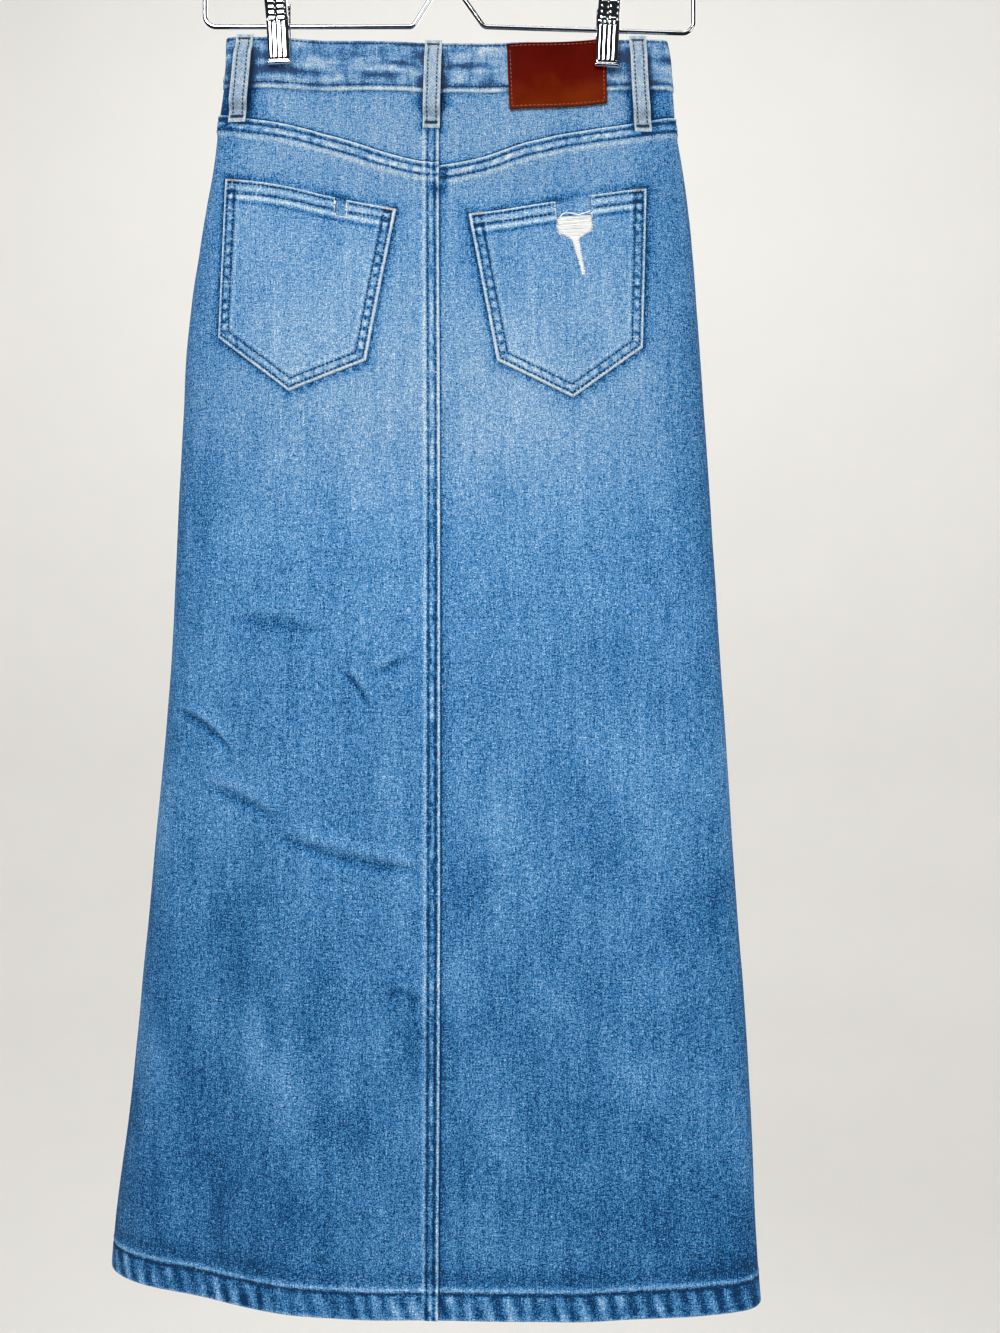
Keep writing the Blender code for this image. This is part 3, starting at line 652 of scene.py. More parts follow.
@dataclass(frozen=True)
class CognacLeather:
    """Smooth waxed leather, darker towards its upper edge."""

    name: str = "cognac_leather"
    edge: Colour = (0.052, 0.008, 0.004, 1)

    def material(self) -> Material:
        """Builds the material."""
        graph = Graph(self.name, Roughness=0.5, Specular_IOR_Level=0.02)
        place = graph.object_place()
        fall = graph.stored("fall")
        blotch = graph.noise(place, 55, 3.0)
        pore = graph.noise(place, 1500, 2.0)
        tone = fall * 0.75 + (blotch - 0.5) * 0.7 + (pore - 0.5) * 0.12 + 0.1
        colour = graph.ramp(tone, LEATHER_STOPS)
        graph.feed("Base Color", graph.mix(graph.stored("edge"), colour, self.edge))
        graph.feed("Roughness", blotch * 0.2 + 0.36)
        cells = graph.node(
            "ShaderNodeTexVoronoi", {"feature": "DISTANCE_TO_EDGE"}, {"Vector": place, "Scale": 900.0}
        )
        graph.bump(cells.above(0.0, 0.25) + pore * 0.5, 0.05 * MM, 0.7)
        return graph.material


@dataclass(frozen=True)
class Plate:
    """Polished or aged metal with fine wear."""

    name: str
    colour: Colour
    roughness: float
    tarnish: float = 0.0

    def material(self) -> Material:
        """Builds the material."""
        graph = Graph(self.name, Metallic=1.0)
        place = graph.object_place()
        smudge = graph.noise(place, 120, 3.0)
        scratch = graph.noise(place, 1400, 2.0)
        dull = tuple(part * 0.35 for part in self.colour)
        worn = (smudge + (scratch - 0.5) * 0.4).above(0.45, 0.75) * self.tarnish
        graph.feed("Base Color", graph.mix(worn, (*self.colour, 1), (*dull, 1)))
        graph.feed("Roughness", smudge * 0.12 + worn * 0.25 + (self.roughness - 0.05))
        graph.bump(scratch, 0.01 * MM, 0.3)
        return graph.material


@dataclass(frozen=True)
class StudioPaint:
    """Matt pale paint of the floor."""

    name: str = "studio_paint"
    colour: Colour = (0.80, 0.79, 0.77)

    def material(self) -> Material:
        """Builds the material."""
        graph = Graph(self.name, Roughness=0.95)
        soft = graph.noise(graph.object_place(), 3.0, 2.0)
        low = tuple(part * 0.985 for part in self.colour)
        graph.feed("Base Color", graph.ramp(soft, ((0.3, low), (0.7, self.colour))))
        return graph.material


def made_of(recipe: Callable[..., Any], *values: Any) -> Any:
    """Field that holds one material, built from a recipe's values when the finishes are."""
    return field(default_factory=lambda: recipe(*values).material())


@dataclass
class Finishes:
    """The materials that the pieces share, each built once."""

    denim: Material = made_of(WashedDenim)
    pale: Material = made_of(WashedDenim, "worn_loop_denim", 0.12, 1.6, 0.28, 0.20, 1.9 * MM)
    banded: Material = made_of(WashedDenim, "waistband_denim", -0.02, 1.85, 0.06)
    wrong: Material = made_of(WrongSide)
    thread: Material = made_of(SewingThread, "navy_thread", (0.006, 0.016, 0.034))
    tan: Material = made_of(SewingThread, "tan_thread", (0.42, 0.31, 0.20))
    brown: Material = made_of(SewingThread, "brown_thread", (0.21, 0.052, 0.018))
    weft: Material = made_of(SewingThread, "white_weft", (0.95, 0.97, 0.96), 0.9, 0.86)
    tape: Material = made_of(SewingThread, "zip_tape", (0.020, 0.040, 0.085), 0.9)
    leather: Material = made_of(CognacLeather)
    chrome: Material = made_of(Plate, "polished_chrome", (0.80, 0.81, 0.83), 0.055)
    brass: Material = made_of(Plate, "aged_brass", (0.47, 0.30, 0.13), 0.30, 0.8)


# Making pieces


def settle(piece: Piece, slot: Slot, *nodes: str, smooth_angle: float = 45.0) -> None:
    """Shades a finished piece and joins it to the frame.

    Args:
        piece: the piece, with its place in its mesh.
        slot: the record's slot of its finish; not used.
        nodes: the frame's nodes that it stands for.
        smooth_angle: the sharpest edge, in degrees, that is shaded smooth.
    """
    piece.data.shade_smooth()
    piece.data.set_sharp_from_angle(angle=math.radians(smooth_angle))
    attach(piece, "root")
    if nodes:
        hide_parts(*nodes)
    LOG.info("%s: %d faces", piece.name, len(piece.data.polygons))


def show(item: Piece) -> Piece:
    """Links an object to the scene and gives it back."""
    bpy.context.scene.collection.objects.link(item)
    return item


def new_piece(
    name: str,
    points: Array,
    faces: Sequence[Sequence[int]],
    *finishes: Material,
    weave: Optional[Array] = None,
    stored: Optional[dict[str, Array]] = None,
) -> Piece:
    """Makes a piece of a mesh.

    Args:
        name: the piece's name.
        points: places of its points.
        faces: its faces' corners.
        finishes: its materials.
        weave: girth and rise of each point on the cloth, for the weave's own map.
        stored: values kept on the points, by name.

    Returns:
        The piece, linked to the scene.
    """
    mesh = bpy.data.meshes.new(name)
    mesh.from_pydata(points.reshape(-1, 3).tolist(), [], faces)
    if weave is not None:
        corners = np.fromiter((corner for face in faces for corner in face), int)
        layer = mesh.uv_layers.new(name="weave")
        layer.data.foreach_set("uv", weave.reshape(-1, 2)[corners].astype(np.float32).reshape(-1))
    for key, values in (stored or {}).items():
        layer = mesh.attributes.new(key, "FLOAT", "POINT")
        layer.data.foreach_set("value", values.astype(np.float32).reshape(-1))
    for finish in finishes:
        mesh.materials.append(finish)
    return show(bpy.data.objects.new(name, mesh))


def rework(piece: Piece, change: Callable[[bmesh.types.BMesh], Any]) -> None:
    """Changes a piece's mesh by one of the mesh operations."""
    work = bmesh.new()
    work.from_mesh(piece.data)
    change(work)
    work.to_mesh(piece.data)
    work.free()


def apply_modifiers(piece: Piece) -> None:
    """Applies all of a piece's modifiers."""
    bpy.ops.object.select_all(action="DESELECT")
    piece.select_set(True)
    bpy.context.view_layer.objects.active = piece
    for modifier in list(piece.modifiers):
        bpy.ops.object.modifier_apply(modifier=modifier.name)


@dataclass
class Sheet:
    """Cloth over a grid of places, rows downwards and columns by growing girth."""

    name: str
    girth: Array
    drop: Array
    lift: Array
    stored: dict[str, Array]
    left_out: Optional[Array] = None
    thickness: float = 1.0 * MM

    def hang(
        self,
        form: HungForm,
        slot: Slot,
        node: str,
        hung_from: Sequence[str],
        right: Material,
        wrong: Material,
    ) -> Piece:
        """Makes the sheet's shell and joins it to the frame.

        Args:
            form: the form that it hangs in.
            slot: the record's slot of its finish.
            node: the frame's node that it stands for.
            hung_from: names of what holds it; not used.
            right: finish of its outer face.
            wrong: finish of its inner face.

        Returns:
            The shell, with its weave's own map and its stored values.
        """
        rows, columns = self.girth.shape
        places = form.place(self.girth, self.drop, self.lift)
        index = np.arange(rows * columns).reshape(rows, columns)
        cells = np.stack([index[:-1, :-1], index[1:, :-1], index[1:, 1:], index[:-1, 1:]], axis=-1)
        keep = np.ones(cells.shape[:2], bool) if self.left_out is None else ~self.left_out
        weave = np.stack([self.girth, -self.drop], axis=-1)
        piece = new_piece(
            self.name, places, cells[keep].tolist(), right, wrong, weave=weave, stored=self.stored
        )
        if self.left_out is not None:
            rework(piece, self._drop_loose)
        shell = piece.modifiers.new("wall", "SOLIDIFY")
        shell.thickness = self.thickness
        shell.offset = -1
        shell.material_offset = 1
        shell.material_offset_rim = 0
        apply_modifiers(piece)
        settle(piece, slot, node, smooth_angle=60)
        return piece

    @staticmethod
    def _drop_loose(work: bmesh.types.BMesh) -> None:
        """Deletes the points that no face uses."""
        bmesh.ops.delete(work, geom=[v for v in work.verts if not v.link_faces], context="VERTS")


def edge_distances(g: Array, d: Array, corners: Sequence[tuple[float, float]]) -> Array:
    """Distances of places from a clockwise polygon's edges, in its own units, positive inside.

    Args:
        g: places' girths.
        d: places' drops.
        corners: the polygon's (girth, drop) corners.

    Returns:
        One layer of distances for each edge, in the corners' order.
    """
    layers = []
    for (g0, d0), (g1, d1) in zip(corners, [*corners[1:], corners[0]]):
        run, fall = g1 - g0, d1 - d0
        layers.append(((d - d0) * run - (g - g0) * fall) / math.hypot(run, fall))
    return np.array(layers)


def inset(corners: Sequence[Array], inwards: float) -> list[Array]:
    """Corners of a clockwise outline moved inwards."""
    moved = []
    for before, corner, after in zip([corners[-1], *corners], corners, [*corners[1:], corners[0]]):
        first, second = unit(corner - before), unit(after - corner)
        first_in, second_in = np.array([-first[1], first[0]]), np.array([-second[1], second[0]])
        moved.append(corner + (first_in + second_in) * inwards / (1 + first_in @ second_in))
    return moved


def walk(corners: Sequence[Array]) -> Array:
    """Points a millimetre apart along straight runs from corner to corner."""
    points = []
    for start, end in zip(corners, corners[1:]):
        count = max(2, int(np.linalg.norm(end - start)))
        points += [start + (end - start) * step / count for step in range(count)]
    return np.array([*points, corners[-1]])


def within(g: Array, d: Array, corners: Sequence[tuple[float, float]]) -> Array:
    """Distance of places from a clockwise polygon's nearest edge, positive inside."""
    return edge_distances(g, d, corners).min(axis=0)


def take_apart(piece: Piece) -> tuple[Array, list[tuple[int, ...]]]:
    """Leaves editing, and gives the points and faces of a piece, which is then deleted."""
    bpy.ops.object.mode_set(mode="OBJECT")
    points = np.array([vertex.co for vertex in piece.data.vertices])
    faces = [tuple(polygon.vertices) for polygon in piece.data.polygons]
    bpy.data.objects.remove(piece, do_unlink=True)
    return points, faces


@dataclass
class Stitching:
    """Stitches of one thread, joined in one piece.

    A stitch is modelled once, and each of its copies is turned along its row.
    """

    name: str
    length: float = 2.1 * MM
    pitch: float = STITCH_PITCH * MM
    radius: float = 0.42 * MM
    slot: Slot = Slot.THREAD
    rows: list[Array] = field(default_factory=list)

    def row(self, form: HungForm, girth: Array, drop: Array, lift: Numbers) -> None:
        """Adds a row of stitches.

        Args:
            form: the form of the cloth that it is sewn through.
            girth: girths of points along the row, close together.
            drop: drops of the same points.
            lift: height of the cloth's face there.
        """
        lift = np.broadcast_to(np.asarray(lift, float), girth.shape)
        line = form.place(girth, drop, lift)
        facing = form.facing(girth, drop)
        steps = np.linalg.norm(np.diff(line, axis=0), axis=1)
        run = np.concatenate([[0], np.cumsum(steps)])
        centres = np.arange(self.pitch / 2, run[-1] - self.pitch / 3, self.pitch)
        if not len(centres):
            return

        def read(at: Array, table: Array) -> Array:
            """Rows of a table at distances along the row of stitches."""
            return np.stack([np.interp(at, run, column) for column in table.T], axis=-1)

        head, tail = read(centres - self.length / 2, line), read(centres + self.length / 2, line)
        self._add((head + tail) / 2, tail - head, read(centres, facing))

    def bar(self, form: HungForm, girths: Array, drops: Array, lift: float, across: Array) -> None:
        """Adds one stitch at each of some places.

        Args:
            form: the form of the cloth that they are sewn through.
            girths: the stitches' girths.
            drops: the stitches' drops.
            lift: height of the cloth's face there.
            across: change of girth and drop along a stitch.
        """
        middle = form.place(girths, drops, lift)
        along = form.place(girths + across[0], drops + across[1], lift) - middle
        self._add(middle, along, form.facing(girths, drops))

    def _add(self, middle: Array, along: Array, up: Array) -> None:
        """Keeps stitches' middles with the square axes that their rough directions give."""
        along = unit(along)
        up = unit(up - along * np.sum(up * along, axis=1, keepdims=True))
        self.rows.append(np.stack([middle, along, np.cross(up, along), up], axis=1))

    def model(self) -> tuple[Array, list[tuple[int, ...]]]:
        """One stitch, 1 long along X: a bar drawn in at its ends, which dip into the cloth."""
        bpy.ops.object.select_all(action="DESELECT")
        bpy.ops.mesh.primitive_cylinder_add(
            vertices=5, radius=1, depth=1, end_fill_type="NGON", rotation=(0, math.pi / 2, 0)
        )
        stitch = bpy.context.object
        bpy.ops.object.transform_apply(location=False, rotation=True, scale=False)
        bpy.ops.object.mode_set(mode="EDIT")
        bpy.ops.mesh.select_mode(type="FACE")
        bpy.ops.mesh.select_all(action="DESELECT")
        work = bmesh.from_edit_mesh(stitch.data)
        for face in work.faces:
            face.select_set(abs(face.normal.x) > 0.9)
        bmesh.update_edit_mesh(stitch.data)
        bpy.ops.mesh.inset(thickness=0.45)
        points, faces = take_apart(stitch)
        rim = np.hypot(points[:, 1], points[:, 2]) > 0.8
        points[rim, 0] *= 0.62
        return points, faces

    def build(self, finish: Material) -> Piece:
        """Joins a copy of the stitch at every place in one mesh."""
        points, faces = self.model()
        frames = np.concatenate(self.rows)
        size = np.array([self.length, self.radius * 1.15, self.radius])
        local = points * size
        sink = np.where(np.abs(points[:, 0]) > 0.45, -0.55 * self.radius, 0.25 * self.radius)
        local[:, 2] += sink
        world = frames[:, None, 0] + np.einsum("pk,skw->spw", local, frames[:, 1:])
        count = len(points)
        corners = [
            tuple(corner + stitch * count for corner in face)
            for stitch in range(len(frames))
            for face in faces
        ]
        piece = new_piece(self.name, world, corners, finish)
        settle(piece, self.slot, smooth_angle=70)
        return piece


# Sewing


class SeamLevel(NamedTuple):
    """Drops of a seam or hem in both halves, in millimetres, at a share of the way to the side."""

    share: float
    left: float
    right: float


class WashPatch(NamedTuple):
    """Soft place where the wash is lighter or darker, in millimetres; face is -1 on the back."""

    face: int
    across: float
    drop: float
    half_width: float
    half_height: float
    gain: float

    def near(self, across: Array, drop: Array) -> Array:
        """How near places are to the patch's middle, from 0 to 1."""
        return bell(across - self.across, self.half_width) * bell(drop - self.drop, self.half_height)


YOKE_SEAM = (
    SeamLevel(0.00, 98.0, 100.5),
    SeamLevel(0.18, 91.0, 94.0),
    SeamLevel(0.32, 82.5, 85.5),
    SeamLevel(0.43, 77.0, 80.0),
    SeamLevel(0.61, 70.5, 73.6),
    SeamLevel(0.79, 65.5, 70.0),
    SeamLevel(1.00, 57.0, 63.0),
)
HEM = (
    SeamLevel(0.00, 913.0, 913.0),
    SeamLevel(0.25, 915.0, 912.0),
    SeamLevel(0.50, 912.0, 911.5),
    SeamLevel(0.80, 908.5, 906.5),
    SeamLevel(1.00, 908.0, 906.0),
)
POCKET_CORNERS = {
    Side.LEFT: ((-151.0, 105.2), (-25.4, 128.2), (-47.0, 243.0), (-102.7, 264.2), (-156.2, 223.2)),
    Side.RIGHT: ((25.9, 131.3), (153.8, 114.7), (148.7, 233.4), (98.6, 270.0), (45.2, 243.4)),
}
WASH_PATCHES = (
    WashPatch(-1, -78, 255, 84, 96, 0.15),
    WashPatch(-1, 84, 265, 84, 100, 0.15),
    WashPatch(-1, 0, 285, 140, 75, 0.06),
    WashPatch(-1, 0, 72, 150, 45, 0.10),
    WashPatch(-1, 3, 112, 5, 4, -0.85),
    WashPatch(-1, 9, 103, 2.6, 8, -0.75),
    WashPatch(-1, 95, 150, 75, 90, -0.05),
    WashPatch(-1, -165, 300, 30, 200, -0.05),
    WashPatch(-1, -100, 600, 90, 140, -0.05),
    WashPatch(-1, -150, 840, 90, 60, -0.09),
    WashPatch(-1, 120, 860, 120, 60, -0.05),
    WashPatch(1, -80, 230, 70, 160, 0.20),
    WashPatch(1, 80, 230, 70, 160, 0.20),
    WashPatch(1, 0, 860, 160, 60, -0.06),
)


class Fell(NamedTuple):
    """Felled seam: distances of its rows and far edge from its fold, in millimetres, and its wear."""

    first: float
    second: float
    width: float
    worn: float


YOKE_FELL = Fell(4.0, 10.4, 13.0, 0.24)
CENTRE_FELL = Fell(3.0, 8.4, 10.0, 0.15)


def stitched(off: Numbers, along: Numbers, width: float = 1.35) -> Numbers:
    """Dark pitted line that a row of stitches draws in washed cloth, in millimetres.

    Args:
        off: distance from the row.
        along: distance along it.
        width: half of the line's width.

    Returns:
        How dark the line is, from 0 to about 1.
    """
    pits = 0.72 + 0.24 * np.sin(along * 2 * math.pi / STITCH_PITCH)
    pits = pits + 0.40 * MOTTLE.at(along / 1.9, off / 1.5)
    return bell(off, width) * np.clip(pits, 0, 1.1)


@dataclass
class SewingPlan:
    """Where the seams and edges lie, how the wash wore them, and the shade painted at folds and creases."""

    form: HungForm
    back_share: float = 0.53
    yoke_level: float = 85 * MM
    hem_level: float = 910 * MM
    hem_row: float = 18.6 * MM
    fly_end: float = 182 * MM

    def _share(self, girth: Numbers, drop: float) -> Numbers:
        """Share of the way from the centre back to the side seam."""
        return np.clip(np.abs(girth) / (self.back_share * self.form.half(drop)), 0, 1)

    def yoke_fold(self, side: Side, girth: Numbers) -> Numbers:
        """Drop of the folded upper edge of the felled yoke seam."""
        share = self._share(girth, self.yoke_level)
        return (smooth(YOKE_SEAM, side.value, "share", share) - YOKE_FELL.width / 2) * MM

    def hem_edge(self, side: Side, girth: Numbers) -> Numbers:
        """Drop of the hem's folded edge, all round one half of the skirt."""
        half = self.form.half(self.hem_level)
        from_centre = np.minimum(np.abs(girth), half * 2 - np.abs(girth))
        centre = half * self.back_share
        share = np.where(
            from_centre <= centre, from_centre / centre, (half - from_centre) / (half - centre)
        )
        return smooth(HEM, side.value, "share", np.clip(share, 0, 1)) * MM

    def wash(self, girth: Numbers, drop: Numbers) -> Array:
        """Wash shade of the open cloth, with painted shade and light at creases and soft folds."""
        g, d = np.broadcast_arrays(np.asarray(girth, float) / MM, np.asarray(drop, float) / MM)
        half = self.form.half(d * MM) / MM
        around = (g + half) % (2 * half) - half
        shade = 0.43 + 0.07 * ease((330 - d) / 120) - 0.16 * ease((d - 420) / 520)
        share = np.abs(around) / half
        margin = ease((share - 0.36) / 0.12) * ease((0.68 - share) / 0.12)
        high = 1 - ease((d - 330) / 200)
        for patch in WASH_PATCHES:
            across = around if patch.face < 0 else np.sign(around) * (half - np.abs(around))
            across = across if patch.face < 0 else -across
            on_face = share < self.back_share if patch.face < 0 else share >= self.back_share
            shade = shade + patch.gain * patch.near(across, d) * on_face
        shade = shade - margin * (0.12 * high + 0.05)
        # Mottled wash; its part that grows lower down paints the shade of soft folds.
        cloud = MOTTLE.at((g * 0.94 - d * 0.34) / 34 - 9.4, (d * 0.94 + g * 0.34) / 95 + 23.1)
        cloud = cloud + 0.6 * MOTTLE.at(g / 26 + 3, d / 34)
        shade = shade + cloud * (0.04 + 0.075 * ease((d - 400) / 280))
        shade = shade + 0.040 * MOTTLE.at(g / 7, d / 120) + 0.02 * MOTTLE.at(g / 3.1, d / 60)
        # Crease troughs are darkened by painted shade, and ridges lightened by painted light and wear.
        creasing = self.form.creasing(girth, drop)
        return shade + 0.15 * np.minimum(creasing, 0) + 0.07 * np.maximum(creasing, 0)

    def rope(self, along: Numbers, across: Numbers, pitch: float) -> Numbers:
        """Slanting ropes that a seam twists into, from -1 to 1.

        Args:
            along: distance along the seam.
            across: distance across it.
            pitch: usual distance from rope to rope.

        Returns:
            Height of the ropes.
        """
        along, across = np.broadcast_arrays(along / MM, across / MM)
        beat = along + 0.7 * across + 3.5 * MOTTLE.at(along / 31, 5.5)
        wave = np.sin(beat * 2 * math.pi / (pitch / MM))
        return wave * (0.55 + 0.45 * MOTTLE.at(along / 11, 2.5)) + 0.35 * MOTTLE.at(along / 3.3, across / 3)

    def felled(self, fell: Fell, inside: Array, along: Array, roping: float = 1.0) -> tuple[Array, Array]:
        """Lift and shade of the covering layer of a felled seam.

        Args:
            fell: the seam's rows.
            inside: distance inwards from the layer's folded edge.
            along: distance along the seam.
            roping: how strongly the seam ropes.

        Returns:
            Its lift and its change of shade.
        """
        t, run = inside / MM, along / MM
        rope = self.rope(along, inside, 8.0 * MM) * roping
        band = between(t, 0.2, fell.width - 0.8, 1.8)
        lift = 1.05 * ease(t / 1.0 + 0.1) * (1 - ease((t - fell.width + 1.5) / 4.5))
        lift = lift + band * (0.15 + 0.16 * rope)
        lift = lift - 0.42 * (bell(t - fell.first, 0.9) + bell(t - fell.second, 0.9)) * ease(t)
        shade = 0.66 * bell(t - 0.9, 1.2) + 0.42 * bell(t - fell.width - 0.4, 1.7)
        shade = shade - 0.68 * (stitched(t - fell.first, run) + stitched(t - fell.second, run))
        middle = between(t, fell.first + 1.2, fell.second - 1.2, 1.4)
        mottle = 0.30 * MOTTLE.at(run / 5.5, t / 2.6) + 0.22 * MOTTLE.at(run / 2.2, t / 1.6 + 3)
        return lift * MM, shade + middle * (0.24 * rope + mottle + fell.worn)

    def covered_with_painted_shadow(self, outside: Array) -> tuple[Array, Array]:
        """Lift of a layer that runs in under a folded edge, and the shadow painted on it there.

        Args:
            outside: distance out from the folded edge.

        Returns:
            Its lift and its painted shadow.
        """
        t = outside / MM
        # Painted shadow: a dark line on the layer just out from the fold above it.
        shade = -0.56 * bell(np.maximum(t, 0), 1.1) - 0.12 * bell(np.maximum(t, 0), 4.0)
        return -1.25 * (1 - ease((t + 1.0) / 1.9)) * MM, shade

    def hemmed(self, above: Array, along: Array) -> tuple[Array, Array]:
        """Lift and shade of the turned-up hem.

        Args:
            above: height above the hem's folded edge.
            along: distance along it.

        Returns:
            Its lift and its change of shade.
        """
        t, row = above / MM, self.hem_row / MM
        rope = self.rope(along, above * 0.4, 13.0 * MM)
        body = between(t, 1.0, 17.8, 3.0)
        lift = body * (0.35 + 0.28 * rope) - 0.45 * bell(t - row, 0.9) + 0.42 * bell(t - 21.2, 1.8)
        bars = np.clip(rope * 1.3, -1, 1) * (0.75 + 0.5 * MOTTLE.at(t / 7, along / MM / 16))
        shade = body * 0.50 * bars - 0.525 * stitched(t - row, along / MM)
        shade = shade + 0.42 * bell(t - 21.6, 1.7) + 0.40 * bell(t - 0.4, 1.6) - 0.12 * bell(t - 30, 6)
        return lift * MM, shade


def even(count: int) -> Array:
    """Shares that part a stretch into equal steps."""
    return np.linspace(0, 1, count + 1)[1:-1]


def crowded(count: int, middle: float, reach: float, extra: float) -> Array:
    """Shares that part a stretch into steps which are smaller round a place.

    Args:
        count: number of steps.
        middle: the place, from 0 to 1.
        reach: how far round it the steps are small.
        extra: how many times closer they are there, less 1.

    Returns:
        The shares between the steps.
    """
    fine = np.linspace(0, 1, 801)
    weight = np.cumsum(1 + extra * between(fine, middle - reach, middle + reach, 0.05))
    weight = (weight - weight[0]) / (weight[-1] - weight[0])
    return np.interp(even(count), weight, fine)


@dataclass(frozen=True)
class Ruling:
    """Lines ruled between two edges, close together near them."""

    near: Array
    far: Array
    inner: Array

    def between(self, start: Array, end: Array) -> Array:
        """Places of the lines, along the last axis, between two edges."""
        middle = self.inner
        weight = np.concatenate([0 * self.near, middle, 0 * self.far + 1])
        step = self.near[-1] * (1 - middle) - self.far[-1] * middle
        offset = np.concatenate([self.near, step, -self.far[::-1]])
        return start + (end - start) * weight + np.sign(end - start) * offset


@dataclass
class SkirtHalf:
    """Yoke, back panel and front panel of one side."""

    side: Side
    form: HungForm
    plan: SewingPlan
    finishes: Finishes
    lap: float = 5 * MM
    underlap: float = 3.6 * MM
    yoke_top: float = 36.6 * MM
    fold_radius: float = 1.1 * MM
    band_edge: float = 38 * MM
    fly_rows: tuple[float, float] = (31 * MM, 35.5 * MM)
    seam_lift: float = 0.72 * MM
    hem_lift: float = -0.15 * MM
    fly_lift: float = 0.75 * MM

    def _columns(self, inner: Array, fell_at_end: bool) -> Ruling:
        """Columns that are close together at the felled seam and at the side seam."""
        felled = spaced((1.2, 0.4), (10.4, 0.66), (15, 1.2))
        plain = spaced((2.4, 0.6), (6, 1.2))
        return Ruling(plain, felled, inner) if fell_at_end else Ruling(felled, plain, inner)

    def _girths(self, ruling: Ruling, start: Callable, end: Callable, drop: Array) -> Array:
        """Girth of each column at each row's drop."""
        return ruling.between(start(drop), end(drop))

    def centre_back(self, drop: Numbers) -> Numbers:
        """Girth of the edge at the centre back; the left half laps over the right one."""
        edge = self.lap if self.side is Side.LEFT else -self.underlap
        return edge + 0 * np.asarray(drop)

    def side_seam(self, drop: Numbers) -> Numbers:
        """Girth of the side seam."""
        return self.side.sign * self.plan.back_share * self.form.half(drop)

    def centre_front(self, drop: Numbers) -> Numbers:
        """Girth of the edge at the centre front; the left half laps over the right one."""
        past = self.lap if self.side is Side.LEFT else self.underlap
        return self.side.sign * (self.form.half(drop) + past)

    def _centre_back_layer(self, girth: Array, drop: Array) -> tuple[Array, Array]:
        """Lift and shade near the centre back; the right half gets a painted shadow under the left's fold.
        """
        if self.side is Side.LEFT:
            return self.plan.felled(CENTRE_FELL, self.lap - girth, drop, 0.8)
        return self.plan.covered_with_painted_shadow(girth - self.lap)

    def _centre_front_layer(self, girth: Array, drop: Array) -> tuple[Array, Array]:
        """Lift and shade near the centre front, felled below the fly; the right half gets a painted shadow.
        """
        half = self.form.half(drop)
        if self.side is Side.RIGHT:
            return self.plan.covered_with_painted_shadow(half - self.lap - girth)
        inside = girth + half + self.lap
        lift, shade = self.plan.felled(CENTRE_FELL, inside, drop, 0.8)
        fly = 1 - ease((drop - self.plan.fly_end) / (6 * MM))
        t = inside / MM
        flat = (0.95 * ease(t / 1.0 + 0.1) * (1 - ease((t - 34) / 5))) * MM
        worn = 0.22 * bell(t - 0.5, 0.9) + 0.10 * bell(t - 38, 3)
        return lift * (1 - fly) + flat * fly, shade * (1 - fly) + worn * fly

    def _side_layer(self, girth: Array, drop: Array) -> tuple[Array, Array]:
        """Lift and shade near the plain side seam."""
        off = np.abs(np.abs(girth) - self.plan.back_share * self.form.half(drop))
        pucker = MOTTLE.at(drop / (5 * MM), 3.3) * bell(off / MM, 5) * 0.14
        lift = -0.75 * bell(off / MM, 1.1) + 0.25 * bell(off / MM - 4, 3) + pucker
        return lift * MM, 0.12 * bell(off / MM - 2.6, 2.2) - 0.20 * bell(off / MM, 0.9) + pucker * 0.3

    def _under_band(self, drop: Array) -> Array:
        """Lift of the cloth that runs up behind the waistband."""
        return -0.9 * (1 - ease((drop / MM - 36.4) / 2.4)) * MM

    def _shadow_of_pocket(self, girth: Array, drop: Array) -> Array:
        """Painted shadow close round the pocket, on cloth that is also darker and unworn there."""
        inside = within(girth / MM, drop / MM, POCKET_CORNERS[self.side])
        off = np.maximum(-inside - 0.5, 0)
        return (-0.44 * bell(off, 1.4) - 0.14 * bell(off, 6)) * (inside < 2)

    def _shadow_of_loops(self, girth: Array, drop: Array) -> Array:
        """Deep indigo beside the belt loops, kept from wear and darkened by painted shadow."""
        shade = np.zeros(girth.shape)
        for loop in LOOPS:
            middle = loop.middle(drop / MM)
            off = np.abs(girth / MM - middle)
            beside = bell(np.maximum(off - 5.5, 0), 5.0 + 3 * MOTTLE.at(drop / (9 * MM), middle / 9))
            shade -= 0.62 * beside * between(drop / MM, 36, loop.bottom + 2, 6)
        return shade

    def _finish(self, cut: str, girth: Array, drop: Array, layers: Sequence) -> Piece:
        """Adds up the layers' lifts and shades and makes the panel of a cut."""
        node = f"{cut}_{self.side.value}"
        lift = sum(layer[0] for layer in layers)
        shade = self.plan.wash(girth, drop) + sum(layer[1] for layer in layers)
        band_shadow = -0.22 * bell(np.maximum(drop / MM - 37.8, 0), 1.8)
        shade = shade + band_shadow
        if girth[0, 0] > girth[0, -1]:
            girth, drop, lift, shade = (table[:, ::-1] for table in (girth, drop, lift, shade))
        sheet = Sheet(f"{node}_cloth", girth, drop, lift, {"shade": shade})
        cloths = self.finishes.denim, self.finishes.wrong
        return sheet.hang(self.form, Slot.DENIM, node, ["waistband_cloth"], *cloths)

